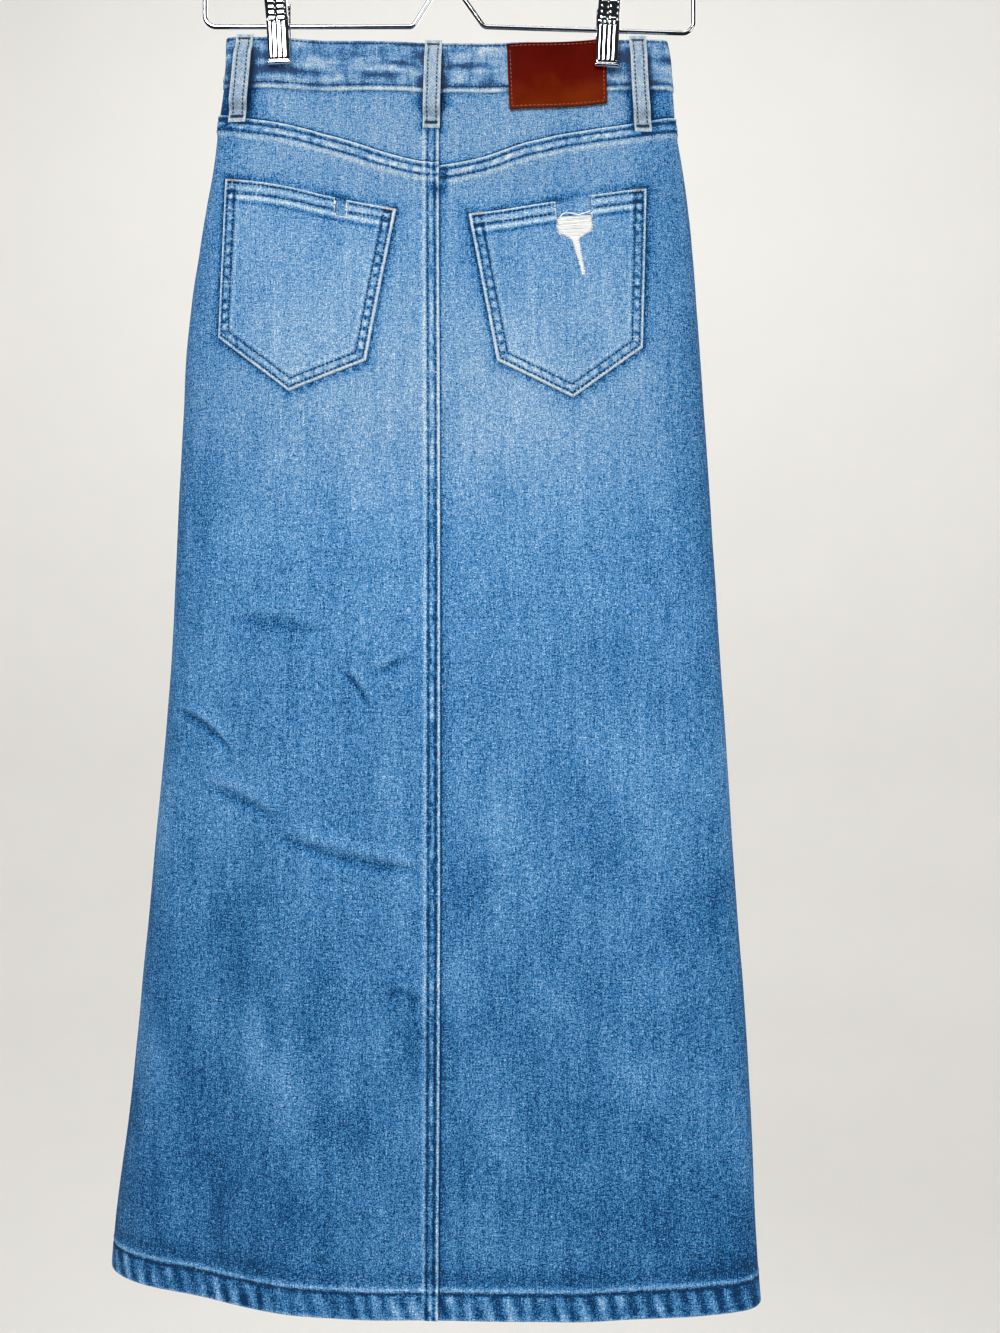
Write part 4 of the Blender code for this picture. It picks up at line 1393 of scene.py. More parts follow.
    def build_yoke(self) -> Piece:
        """Back yoke, from under the waistband to under the felled seam."""
        columns = self._columns(even(70), False)
        level = self.plan.yoke_level
        top_girth = columns.between(self.centre_back(level), self.side_seam(level))
        fold = self.plan.yoke_fold(self.side, top_girth)
        rows = Ruling(spaced((3, 0.6), (6, 1)), spaced((8, 0.6), (12, 1.2)), even(16))
        drop = rows.between(np.full(fold.shape, self.yoke_top)[:, None], (fold + 4.5 * MM)[:, None]).T
        girth = self._girths(columns, self.centre_back, self.side_seam, drop)
        layers = [
            self._centre_back_layer(girth, drop),
            self._side_layer(girth, drop),
            # The yoke gets a painted shadow under the back panel's folded edge.
            self.plan.covered_with_painted_shadow(fold - drop),
            (self._under_band(drop), self._shadow_of_loops(girth, drop)),
        ]
        return self._finish("yoke", girth, drop, layers)

    def _long_rows(self, top: Array, bottom: Array, inner: Array, fine_top: Array) -> tuple[Array, Array]:
        """Rows of a long panel that go on round the hem's fold and up inside.

        Args:
            top: drop of the panel's upper edge in each column.
            bottom: drop of the hem's folded edge in each column.
            inner: shares of the rows between the finely ruled ends.
            fine_top: distances of the first rows from the upper edge.

        Returns:
            Each row's drop, and its lift for the fold and the turned-up layer.
        """
        rows = Ruling(fine_top, spaced((1.1, 0.55), (24, 1.1), (32, 2)), inner)
        radius = self.fold_radius
        outer = rows.between(top[:, None], (bottom - radius)[:, None]).T
        angles = np.radians([30, 60, 90, 120, 150, 180])
        fold = (bottom - radius)[None] + radius * np.sin(angles)[:, None]
        fold_lift = -radius * (1 - np.cos(angles))
        inside_rise = np.array([3, 8, 13, 17, 19]) * MM
        inside = (bottom - radius)[None] - inside_rise[:, None]
        lifts = np.concatenate([np.zeros(len(outer)), fold_lift, np.full(5, -2 * radius)])
        drop = np.concatenate([outer, fold, inside])
        return drop, np.broadcast_to(lifts[:, None], drop.shape)

    def build_back(self) -> Piece:
        """Back panel, whose upper edge laps over the yoke."""
        columns = self._columns(even(96), False)
        level = self.plan.yoke_level
        top_girth = columns.between(self.centre_back(level), self.side_seam(level))
        level = self.plan.hem_level
        low_girth = columns.between(self.centre_back(level), self.side_seam(level))
        fold = self.plan.yoke_fold(self.side, top_girth)
        hem = self.plan.hem_edge(self.side, low_girth)
        fine = spaced((1.2, 0.4), (12.5, 0.66), (17, 1.1))
        drop, turned = self._long_rows(fold, hem, crowded(216, 0.52, 0.16, 0.9), fine)
        girth = self._girths(columns, self.centre_back, self.side_seam, drop)
        on_outside = turned > -0.1 * MM
        seam_lift, seam_shade = self.plan.felled(YOKE_FELL, drop - fold, girth)
        hem_lift, hem_shade = self.plan.hemmed(hem - drop, girth)
        layers = [
            self._centre_back_layer(girth, drop),
            self._side_layer(girth, drop),
            (seam_lift, seam_shade),
            (hem_lift * on_outside, hem_shade),
            (turned, self._shadow_of_pocket(girth, drop)),
            (0, self._shadow_of_loops(girth, drop)),
        ]
        return self._finish("back", girth, drop, layers)

    def build_front(self) -> Piece:
        """Front panel, from under the waistband to the hem."""
        columns = self._columns(even(60), True)
        level = self.plan.hem_level
        low_girth = columns.between(self.side_seam(level), self.centre_front(level))
        hem = self.plan.hem_edge(self.side, low_girth)
        fine = spaced((3, 0.6), (6, 1))
        drop, turned = self._long_rows(np.full(hem.shape, self.yoke_top), hem, even(190), fine)
        girth = self._girths(columns, self.side_seam, self.centre_front, drop)
        on_outside = turned > -0.1 * MM
        hem_lift, hem_shade = self.plan.hemmed(hem - drop, girth)
        layers = [
            self._centre_front_layer(girth, drop),
            self._side_layer(girth, drop),
            (hem_lift * on_outside, hem_shade),
            (turned + self._under_band(drop), self._shadow_of_loops(girth, drop)),
        ]
        return self._finish("front", girth, drop, layers)

    def sew(self, stitching: Stitching) -> None:
        """Adds this half's seam stitches."""
        plan, form, sign = self.plan, self.form, self.side.sign
        reach = plan.back_share * form.half(70 * MM)
        start = 6 * MM if self.side is Side.RIGHT else 5.5 * MM
        girth = sign * np.arange(start, reach - 1 * MM, 2 * MM)
        fold = plan.yoke_fold(self.side, girth)
        for row in (YOKE_FELL.first, YOKE_FELL.second):
            stitching.row(form, girth, fold + row * MM, self.seam_lift)
        girth = sign * np.arange(1 * MM, form.half(895 * MM) - 1 * MM, 3 * MM)
        hem = plan.hem_edge(self.side, girth)
        stitching.row(form, girth, hem - plan.hem_row, self.hem_lift)
        if self.side is Side.LEFT:
            drop = np.arange(self.band_edge, 913 * MM, 3 * MM)
            for row in (CENTRE_FELL.first, CENTRE_FELL.second):
                stitching.row(form, self.lap - row * MM + 0 * drop, drop, self.seam_lift)
            drop = np.arange(plan.fly_end + 2 * MM, 912 * MM, 3 * MM)
            for row in (CENTRE_FELL.first, CENTRE_FELL.second):
                stitching.row(form, row * MM - self.lap - form.half(drop), drop, self.seam_lift)
            for row in self.fly_rows:
                self._sew_fly(stitching, row)

    def _sew_fly(self, stitching: Stitching, row: float) -> None:
        """Adds one row of the fly's J-shaped stitches."""
        turn = self.plan.fly_end - row
        angles = np.radians(np.arange(0, 91, 3))
        down = np.arange(self.band_edge, turn, 2 * MM)
        drop = np.concatenate([down, turn + row * np.sin(angles)])
        inside = np.concatenate([np.full(len(down), row), row * np.cos(angles) + 1.5 * MM])
        stitching.row(self.form, inside - self.lap - self.form.half(drop), drop, self.fly_lift)


class Loop(NamedTuple):
    """A belt loop's place: girth and drop of its ends and how far it stands off, in millimetres."""

    name: str
    girth_high: float
    girth_low: float
    top: float
    bottom: float
    stand: float

    def middle(self, drop: Numbers) -> Numbers:
        """Girth of the loop's middle at a drop, in millimetres."""
        share = (drop - self.top) / (self.bottom - self.top)
        return self.girth_high + (self.girth_low - self.girth_high) * share


LOOPS = (
    Loop("belt_loop_back_left", -137.4, -143.9, -1.0, 63.2, 5.8),
    Loop("belt_loop_back", 0.8, -0.7, -1.0, 65.0, 6.0),
    Loop("belt_loop_back_right", 149.5, 153.6, -1.5, 70.0, 6.2),
    Loop("belt_loop_front_left", -252.0, -268.0, -1.0, 64.0, 7.6),
    Loop("belt_loop_front_right", 252.0, 268.0, -1.0, 64.0, 7.8),
)
BAND_PATCHES = (
    WashPatch(-1, -124, 14.5, 17, 2.6, -0.65),
    WashPatch(-1, -120, 23, 22, 3.2, -0.65),
    WashPatch(-1, -128, 18.6, 12, 1.6, 0.34),
    WashPatch(-1, -76, 9, 16, 3.4, -0.34),
    WashPatch(-1, -95, 25, 20, 2.6, -0.37),
    WashPatch(-1, -60, 16, 18, 2.6, 0.25),
    WashPatch(-1, -26, 16.5, 15, 1.7, -0.68),
    WashPatch(-1, -34, 25.5, 15, 1.7, -0.46),
    WashPatch(-1, -40, 21, 22, 2.2, 0.31),
    WashPatch(-1, -14, 9, 8, 5, -0.37),
    WashPatch(-1, 22, 17.5, 15, 2.0, -0.65),
    WashPatch(-1, 30, 9, 18, 3.0, 0.22),
    WashPatch(-1, 36, 26, 16, 4, 0.19),
    WashPatch(-1, 137, 15, 6, 8, -0.46),
    WashPatch(-1, 170, 16, 14, 2.4, -0.62),
    WashPatch(-1, 174, 25, 14, 3, 0.25),
)


def sweep(
    name: str, places: Array, girth: Array, drop: Array, shade: Array, finish: Material
) -> Piece:
    """Closed tube of cloth through rings of points, with flat ends.

    Args:
        name: the piece's name.
        places: points, one ring to a row.
        girth: the points' girths, for the weave's map.
        drop: the points' drops.
        shade: the points' shades.
        finish: the cloth.

    Returns:
        The tube, with its faces outwards.
    """
    rings, count = places.shape[:2]
    index = np.arange(rings * count).reshape(rings, count)
    turned = np.roll(index, -1, axis=1)
    faces = np.stack([index[:-1], index[1:], turned[1:], turned[:-1]], axis=-1).reshape(-1, 4).tolist()
    faces += [index[0].tolist(), index[-1][::-1].tolist()]
    weave = np.stack([girth, -drop], axis=-1)
    stored = {"shade": shade, "fray": np.zeros(shade.shape)}
    piece = new_piece(name, places, faces, finish, weave=weave, stored=stored)
    rework(piece, lambda work: bmesh.ops.recalc_face_normals(work, faces=work.faces))
    return piece


@dataclass
class Waistband:
    """Doubled strip round the waist, lapped left over right at the centre front."""

    form: HungForm
    finishes: Finishes
    height: float = 37.5 * MM
    wall: float = 3.0 * MM
    proud: float = 0.75 * MM
    lap: float = 8 * MM
    underlap: float = 32 * MM
    step: float = 16 * MM
    lay_gap: float = 0.45 * MM
    row_in: float = 2.3 * MM
    upper_row: float = 2.4
    lower_row: float = 33.0

    def _section(self) -> tuple[Array, Array, Array]:
        """Drop and lift of the strip's section, and 1 where it is the outer face."""
        radius = self.wall / 2
        face = np.concatenate([spaced((4, 0.5), (33, 1.45))[:-1], 33 * MM + spaced((1.5, 0.5))])
        face = face[face <= self.height - 2 * radius] + radius
        angles = np.radians(np.arange(15, 180, 15))
        top, low = radius, self.height - radius
        middle = self.proud - radius
        drop = [face, low + radius * np.sin(angles), face[::-1], top - radius * np.sin(angles)]
        lift = [
            np.full(len(face), self.proud),
            middle + radius * np.cos(angles),
            np.full(len(face), self.proud - self.wall),
            middle - radius * np.cos(angles),
        ]
        outer = [np.ones(len(face)), np.cos(angles) > 0, np.zeros(len(face)), np.cos(angles) < 0]
        return np.concatenate(drop), np.concatenate(lift), np.concatenate(outer).astype(float)

    def _worn(self, girth: Array, drop: Array) -> Array:
        """Shade of the strip's outer face."""
        g, d = girth / MM, drop / MM
        shade = 0.50 + 0.26 * MOTTLE.at(g / 20, d / 5.0) + 0.16 * MOTTLE.at(g / 6, d / 8 + 4)
        shade = shade + 0.26 * MOTTLE.at(g / 3.0, d / 30) * bell(d - 27, 8)
        shade = shade + 0.24 * MOTTLE.at(g / 11 + 5, d / 2.4) + 0.14 * MOTTLE.at(g / 2.4, d / 7 + 2)
        for patch in BAND_PATCHES:
            shade = shade + patch.gain * patch.near(g, d)
        # Beside each loop: deep indigo kept from wear, and the loop's painted shadow.
        for loop in LOOPS:
            middle = loop.girth_high + (loop.girth_low - loop.girth_high) * d / loop.bottom
            off = np.abs(g - middle)
            reach = 3.5 + 2.5 * MOTTLE.at(d / 6, middle / 9)
            shade = shade - 0.78 * bell(np.maximum(off - 6.0, 0), reach) * ease((d - 3) / 6)
        shade = shade + 0.56 * bell(d - 36.2, 1.5) - 0.62 * stitched(d - self.lower_row, g)
        return shade + 0.38 * bell(d, 1.5) - 0.56 * stitched(d - self.upper_row, g, 1.0)

    def build(self) -> Piece:
        """Makes the waistband."""
        section, lift, outer = self._section()
        half = float(self.form.half(self.height / 2))
        girths = np.arange(-half - self.lap, half + self.underlap, 1.7 * MM)
        behind = ease((girths - (half - self.lap - self.step)) / self.step)
        scale = self.form.half(section) / half
        girth = girths[:, None] * scale
        drop = np.broadcast_to(section, girth.shape)
        g, d = girth / MM, drop / MM
        wrinkle = 0.48 * MOTTLE.at(g / 17, d / 5.0) + 0.26 * MOTTLE.at(g / 6, d / 11)
        groove = 0.34 * (bell(d - self.upper_row, 0.8) + bell(d - self.lower_row, 0.9))
        detail = (wrinkle * between(d, 3.5, 33.5, 3) - groove) * MM * outer
        height = lift + detail - behind[:, None] * (self.wall + self.lay_gap)
        places = self.form.place(girth, drop, height)
        band = sweep("waistband_cloth", places, girth, drop, self._worn(girth, drop), self.finishes.banded)
        settle(band, Slot.DENIM, "waistband", smooth_angle=60)
        return band

    def sew(self, stitching: Stitching) -> None:
        """Adds the two rows round the band."""
        half = float(self.form.half(self.height / 2))
        girths = np.arange(-half - self.lap + 2 * MM, half - self.lap - 1 * MM, 2 * MM)
        for drop in (self.row_in, self.lower_row * MM):
            girth = girths * self.form.half(drop) / half
            stitching.row(self.form, girth, np.full(girth.shape, drop), self.proud - 0.28 * MM)
        ends = np.arange(self.row_in, self.height - self.row_in, 2 * MM)
        place = np.full(ends.shape, -half - self.lap + self.row_in)
        stitching.row(self.form, place, ends, self.proud - 0.05 * MM)


@dataclass
class BeltLoop:
    """Flat belt loop with folded edges, tacked at both ends."""

    loop: Loop
    form: HungForm
    finishes: Finishes
    width: float = 12.4 * MM
    wall: float = 1.6 * MM
    bow: float = 0.4 * MM
    tack: float = 8 * MM
    bend: float = 8 * MM
    on_band: float = 1.2 * MM
    lay_gap: float = 0.45 * MM
    row_in: float = 2.9 * MM

    def _line(self) -> tuple[Array, Array]:
        """Drop and lift of the loop's inner face along its length."""
        top, bottom, stand = self.loop.top * MM, self.loop.bottom * MM, self.loop.stand * MM
        drops = [top, top + self.tack, top + self.tack + self.bend, (top + bottom) / 2]
        drops += [bottom - self.tack - self.bend, bottom - self.tack, bottom]
        lifts = [self.on_band, self.on_band, stand, stand + self.bow, stand, self.lay_gap, self.lay_gap]
        fine = np.linspace(top, bottom, 56)
        row = np.clip(np.searchsorted(drops, fine) - 1, 0, len(drops) - 2)
        low, high = np.array(drops)[row], np.array(drops)[row + 1]
        share = ease((fine - low) / (high - low))
        return fine, np.array(lifts)[row] * (1 - share) + np.array(lifts)[row + 1] * share

    def _section(self) -> tuple[Array, Array]:
        """Places across the loop and heights above its inner face, round its section."""
        half, radius = self.width / 2, self.wall / 2
        flat = np.linspace(-half + radius, half - radius, 17)
        angles = np.radians([30, 60, 90, 120, 150])
        edge = 0.30 * MM * ease((np.abs(flat) - 1.2 * MM) / (1.6 * MM))
        rows = 0.28 * MM * bell(np.abs(flat) - (half - self.row_in), 0.6 * MM)
        across = [flat, half - radius + radius * np.sin(angles), flat[::-1]]
        across += [-half + radius - radius * np.sin(angles)]
        height = [self.wall - 0.25 * MM + edge - rows, radius + radius * np.cos(angles)]
        height += [np.zeros(len(flat)), radius - radius * np.cos(angles)]
        return np.concatenate(across), np.concatenate(height)

    def _middle(self, drop: Array) -> Array:
        """Girth of the loop's middle at a drop, in metres."""
        return self.loop.middle(drop / MM) * MM

    def build(self) -> Piece:
        """Makes the loop."""
        drops, lifts = self._line()
        across, height = self._section()
        slope = np.gradient(lifts, drops)
        steep = np.hypot(1, slope)
        drop = drops[:, None] - height * (slope / steep)[:, None]
        lift = lifts[:, None] + height * (1 / steep)[:, None]
        ends = np.minimum(drops - drops[0], drops[-1] - drops)
        thin = 1 - 0.35 * (1 - ease(ends / (0.9 * MM)))
        lift = lifts[:, None] + (lift - lifts[:, None]) * thin[:, None]
        girth = self._middle(drops)[:, None] + across
        places = self.form.place(girth, drop, lift)
        a, t = np.broadcast_arrays(np.abs(across) / MM, ends[:, None] / MM)
        half, row = self.width / 2 / MM, (self.width / 2 - self.row_in) / MM
        shade = 0.66 + 0.46 * bell(a - half, 1.4) - 0.30 * stitched(a - row, drop / MM, 0.9)
        shade = shade + 0.16 * MOTTLE.at(a / 2.5 + 5, drop / (4 * MM)) + 0.30 * bell(t - 0.5, 1.8)
        below = drops[:, None] > drops.mean()
        shade = shade - 0.40 * bell(t - 4.2, 1.1) * (a < half - 1.2) * below
        level = np.broadcast_to(drops[:, None], girth.shape)
        worn = sweep(f"{self.loop.name}_cloth", places, girth, level, shade, self.finishes.pale)
        settle(worn, Slot.LOOP, self.loop.name, smooth_angle=60)
        return worn

    def sew(self, stitching: Stitching, tacks: Stitching) -> None:
        """Adds the two rows along the loop and the tacks at its ends."""
        drops, lifts = self._line()
        slope = np.gradient(lifts, drops)
        steep = np.hypot(1, slope)
        face = self.wall - 0.12 * MM
        for side in (-1, 1):
            girth = self._middle(drops) + side * (self.width / 2 - self.row_in)
            drop = drops - face * slope / steep
            stitching.row(self.form, girth[2:-2], drop[2:-2], (lifts + face / steep)[2:-2])
        for end, inwards, lift in ((0, 1, self.on_band), (-1, -1, self.lay_gap)):
            for row, offset in enumerate(np.arange(3.1, 4.9 if end else 3.8, 0.5) * MM):
                across = np.arange(-4.6, 4.7, 0.85) * MM + (row % 2) * 0.4 * MM
                drop = np.full(across.shape, drops[end] + inwards * offset)
                girth = self._middle(drop) + across
                tacks.bar(self.form, girth, drop, lift + self.wall - 0.1 * MM, np.array([0.3, 1.0]) * MM)


class PocketPlaces(NamedTuple):
    """Places on a pocket and their distances from its edges, in millimetres."""

    girth: Array
    drop: Array
    top: Array
    sides: Array
    upright: Array
    on_side: Array
    along: Array
    rope: Array
    between_rows: Array
    hem: Array


@dataclass
class PatchPocket:
    """Five-sided pocket on the back, with a worn notch in its upper hem.

    Its rows and its hem are distances from its edges in millimetres.
    """

    side: Side
    form: HungForm
    plan: SewingPlan
    finishes: Finishes
    height: float = 1.55 * MM
    first_row: float = 2.9
    second_row: float = 8.1
    top_rows: tuple[float, float] = (3.1, 10.3)
    top_hem: float = 14.4

    @property
    def notch(self) -> tuple[tuple[float, float], ...]:
        """Corners of the place where the cloth has gone, clockwise from the upper left."""
        if self.side is Side.LEFT:
            return ((-70.0, 110.0), (-61.5, 110.0), (-61.0, 135.6), (-69.2, 135.2))
        return ((84.8, 110.0), (112.6, 110.0), (113.6, 137.2), (88.6, 137.6))

    def _grid(self) -> tuple[Array, Array]:
        """Girths and drops of the pocket's grid, in millimetres."""
        corners = [np.array(corner) for corner in POCKET_CORNERS[self.side]]
        top_left, top_right, low_right, tip, low_left = corners
        left, right = np.linalg.norm(tip - low_left), np.linalg.norm(low_right - tip)
        top_middle = top_left + (top_right - top_left) * left / (left + right)
        edge = spaced((0.7, 0.35), (1.9, 0.4), (3.1, 0.6), (7.4, 1.1), (9.2, 0.6), (12, 1.4)) / MM
        top = spaced((0.7, 0.35), (2.3, 0.5), (3.9, 0.5), (9.6, 1.2), (11.6, 0.5), (15, 0.85)) / MM
        tables = []
        tall = np.linalg.norm(tip - top_middle)
        for a, b, c, d in ((top_left, top_middle, tip, low_left), (top_middle, top_right, low_right, tip)):
            outer_first = a is top_left
            width = np.linalg.norm(b - a)
            plain = np.linspace(edge[-1], width, round((width - edge[-1]) / 1.25) + 1)[1:]
            across = np.concatenate([edge, plain]) / width
            if not outer_first:
                across = 1 - across[::-1]
            middle = np.linspace(top[-1], tall - edge[-1], round((tall - top[-1] - edge[-1]) / 1.6) + 1)
            down = np.concatenate([top, middle[1:-1], tall - edge[::-1]]) / tall
            s, t = across[None, :, None], down[:, None, None]
            tables.append((a * (1 - s) + b * s) * (1 - t) + (d * (1 - s) + c * s) * t)
        grid = np.concatenate([tables[0], tables[1][:, 1:]], axis=1)
        return grid[..., 0], grid[..., 1]

    def _fray(self, g: Array, d: Array) -> Array:
        """How far the cloth has worn to its white weft."""
        notch = within(g, d, self.notch)
        if self.side is Side.LEFT:
            return 0.75 * bell(np.maximum(-notch, 0), 0.8)
        ragged = 1.3 * MOTTLE.at(g / 1.7, d / 1.3) + 0.8 * MOTTLE.at(g / 4, d / 3)
        white = within(g, d, ((89.0, 136.0), (113.6, 136.0), (113.0, 148.4), (89.6, 149.6)))
        lower = within(g, d, ((94.6, 146.0), (109.6, 146.0), (104.8, 153.4), (98.0, 153.0)))
        hole = ease((np.maximum(white, lower) + ragged * 0.7) / 1.2 + 0.5)
        along = np.clip((d - 151) / 29, 0, 1)
        middle = 100.6 + 6.4 * along
        rip = (2.5 - 1.7 * along) - np.abs(g - middle) + 0.55 * ragged
        rip = ease(rip / 0.9 + 0.3) * (d > 149) * (d < 180)
        return np.maximum.reduce([hole, rip, 0.7 * bell(np.maximum(-notch, 0), 0.7)])

    def _measure(self, g: Array, d: Array) -> PocketPlaces:
        """Where places of the grid lie between the pocket's edges, rows and hem."""
        corners = POCKET_CORNERS[self.side]
        edges = edge_distances(g, d, corners)
        top, sides = edges[0], edges[1:].min(axis=0)
        upright = np.minimum(edges[1], edges[4])
        on_side = upright < np.minimum(edges[2], edges[3])
        along = np.where(on_side, d - corners[0][1], g - corners[0][0])
        rope = self.plan.rope(along * MM, sides * MM, 7.0 * MM)
        between_rows = between(sides, 2.8, 7.8, 1.4) * (top > self.top_hem - 2)
        hem = between(top, 0.6, self.top_hem, 1.4)
        return PocketPlaces(g, d, top, sides, upright, on_side, along, rope, between_rows, hem)

    def _relief(self, at: PocketPlaces) -> Array:
        """Height of the pocket's face, in millimetres."""
        rim = np.minimum(at.top, at.sides)
        lift = 0.12 + (self.height / MM - 0.12) * np.sqrt(ease((rim + 0.12) / 1.1))
        grooves = bell(at.sides - self.first_row, 0.65) + bell(at.sides - self.second_row, 0.7)
        across_rows = bell(at.top - self.top_rows[0], 0.65) + bell(at.top - self.top_rows[1], 0.7)
        lift = lift + 0.35 * at.hem + at.between_rows * (0.25 + 0.18 * at.rope)
        lift = lift - 0.34 * grooves * (at.top > 1.5) - 0.36 * across_rows * (at.sides > 1.5)
        lift = lift - 0.25 * ease((at.sides - 8) / 5) * (1 - at.hem)
        return lift + 0.12 * MOTTLE.at(at.girth / 14, at.drop / 16)

    def _worn(self, at: PocketPlaces) -> Array:
        """Pocket shade: rim, side rows, ropes, hem, corner tacks, and a painted shadow under the hem."""
        top, sides, along = at.top, at.sides, at.along
        shade = self.plan.wash(at.girth * MM, at.drop * MM) + 0.03
        shade = shade + 0.64 * bell(np.minimum(top, sides) - 0.9, 1.2)
        first, second = stitched(sides - self.first_row, along), stitched(sides - self.second_row, along)
        shade = shade - 0.66 * (first + 0.85 * second) * ease((top - 1) / 2) + 0.16 * at.hem
        beat = np.sin(along * 2 * math.pi / 8.1 + 1.4 * MOTTLE.at(along / 23, 8.5))
        spots = ease((beat - 0.1) / 0.6) * bell(sides - 5.5, 1.7) * (1 + 0.5 * MOTTLE.at(along / 7, 3.5))
        shade = shade + at.between_rows * (0.20 + 0.14 * at.rope) - spots * np.where(at.on_side, 0.56, 0.24)
        shade = shade + 0.16 * bell(sides - 10.6, 1.3) * (top > self.top_hem)
        run = at.girth - POCKET_CORNERS[self.side][0][0]
        upper, lower = (stitched(top - row, run, 1.5) for row in self.top_rows)
        shade = shade - 0.70 * (upper + lower) * ease((sides - 1) / 2)
        shade = shade + (0.12 * bell(top - 6.8, 1.6) + 0.40 * bell(top - 13.6, 1.5)) * ease(sides / 3)
        # Painted shadow: a dark line just under the hem's lower edge.
        shade = shade - 0.40 * bell(top - self.top_hem - 2.4, 1.5) * ease((sides - 6) / 8)
        tack = bell(sides - self.first_row, 1.2) + bell(sides - self.second_row, 1.2)
        return shade - 0.55 * tack * bell(top - 14.5, 4.5) * (at.upright < 12)

    def _missing(self, g: Array, d: Array) -> Array:
        """Which cells of the grid have gone from the notches."""
        middle_g, middle_d = (g[:-1, :-1] + g[1:, 1:]) / 2, (d[:-1, :-1] + d[1:, 1:]) / 2
        ragged = 0.5 * MOTTLE.at(middle_g / 1.3, middle_d / 1.1)
        return within(middle_g, middle_d, self.notch) + ragged > 0

    def build(self) -> Piece:
        """Makes the pocket."""
        g, d = self._grid()
        at = self._measure(g, d)
        stored = {"shade": self._worn(at), "fray": self._fray(g, d)}
        node, panel = f"pocket_{self.side.value}", f"back_{self.side.value}_cloth"
        sheet = Sheet(f"{node}_cloth", g * MM, d * MM, self._relief(at) * MM, stored, self._missing(g, d))
        cloths = self.finishes.denim, self.finishes.wrong
        return sheet.hang(self.form, Slot.DENIM, node, [panel], *cloths)

    def sew(self, stitching: Stitching, tan: Stitching) -> None:
        """Adds the rows round the pocket and across its hem, and the corner tacks."""
        corners = [np.array(corner) for corner in POCKET_CORNERS[self.side]]
        lift = self.height + 0.05 * MM
        for row in (self.first_row, self.second_row):
            path = inset(corners, row)
            up_left, up_right = (
                path[top] + unit(path[top] - path[low]) * (row - 1.2)
                for top, low in ((0, 4), (1, 2))
            )
            points = walk([up_left, path[4], path[3], path[2], up_right])
            stitching.row(self.form, points[:, 0] * MM, points[:, 1] * MM, lift)
        for row in self.top_rows:
            path = inset(corners, row)
            ends = inset(corners, 2.6)
            line = walk([np.array([ends[0][0], path[0][1]]), np.array([ends[1][0], path[1][1]])])
            gone = within(line[:, 0], line[:, 1], self.notch) > -1.8
            for piece in np.split(line, np.nonzero(np.diff(gone.astype(int)))[0] + 1):
                inside = within(piece[:, 0], piece[:, 1], self.notch)
                if len(piece) > 4 and inside.max() <= -1.7:
                    stitching.row(self.form, piece[:, 0] * MM, piece[:, 1] * MM, lift + 0.25 * MM)
        self._tack(tan, corners[0], corners[1])
        self._tack(tan, corners[1], corners[0])

    def _tack(self, tan: Stitching, corner: Array, other: Array) -> None:
        """Adds two short lines of tan thread along the upper edge from a corner."""
        run = unit(other - corner)
        for start, end, below in ((1.2, 13.5, 1.0), (2.0, 11.5, 2.1)):
            places = corner + run * np.arange(start, end, 0.8)[:, None] + np.array([0, below])
            tan.row(self.form, places[:, 0] * MM, places[:, 1] * MM, self.height + 0.30 * MM)


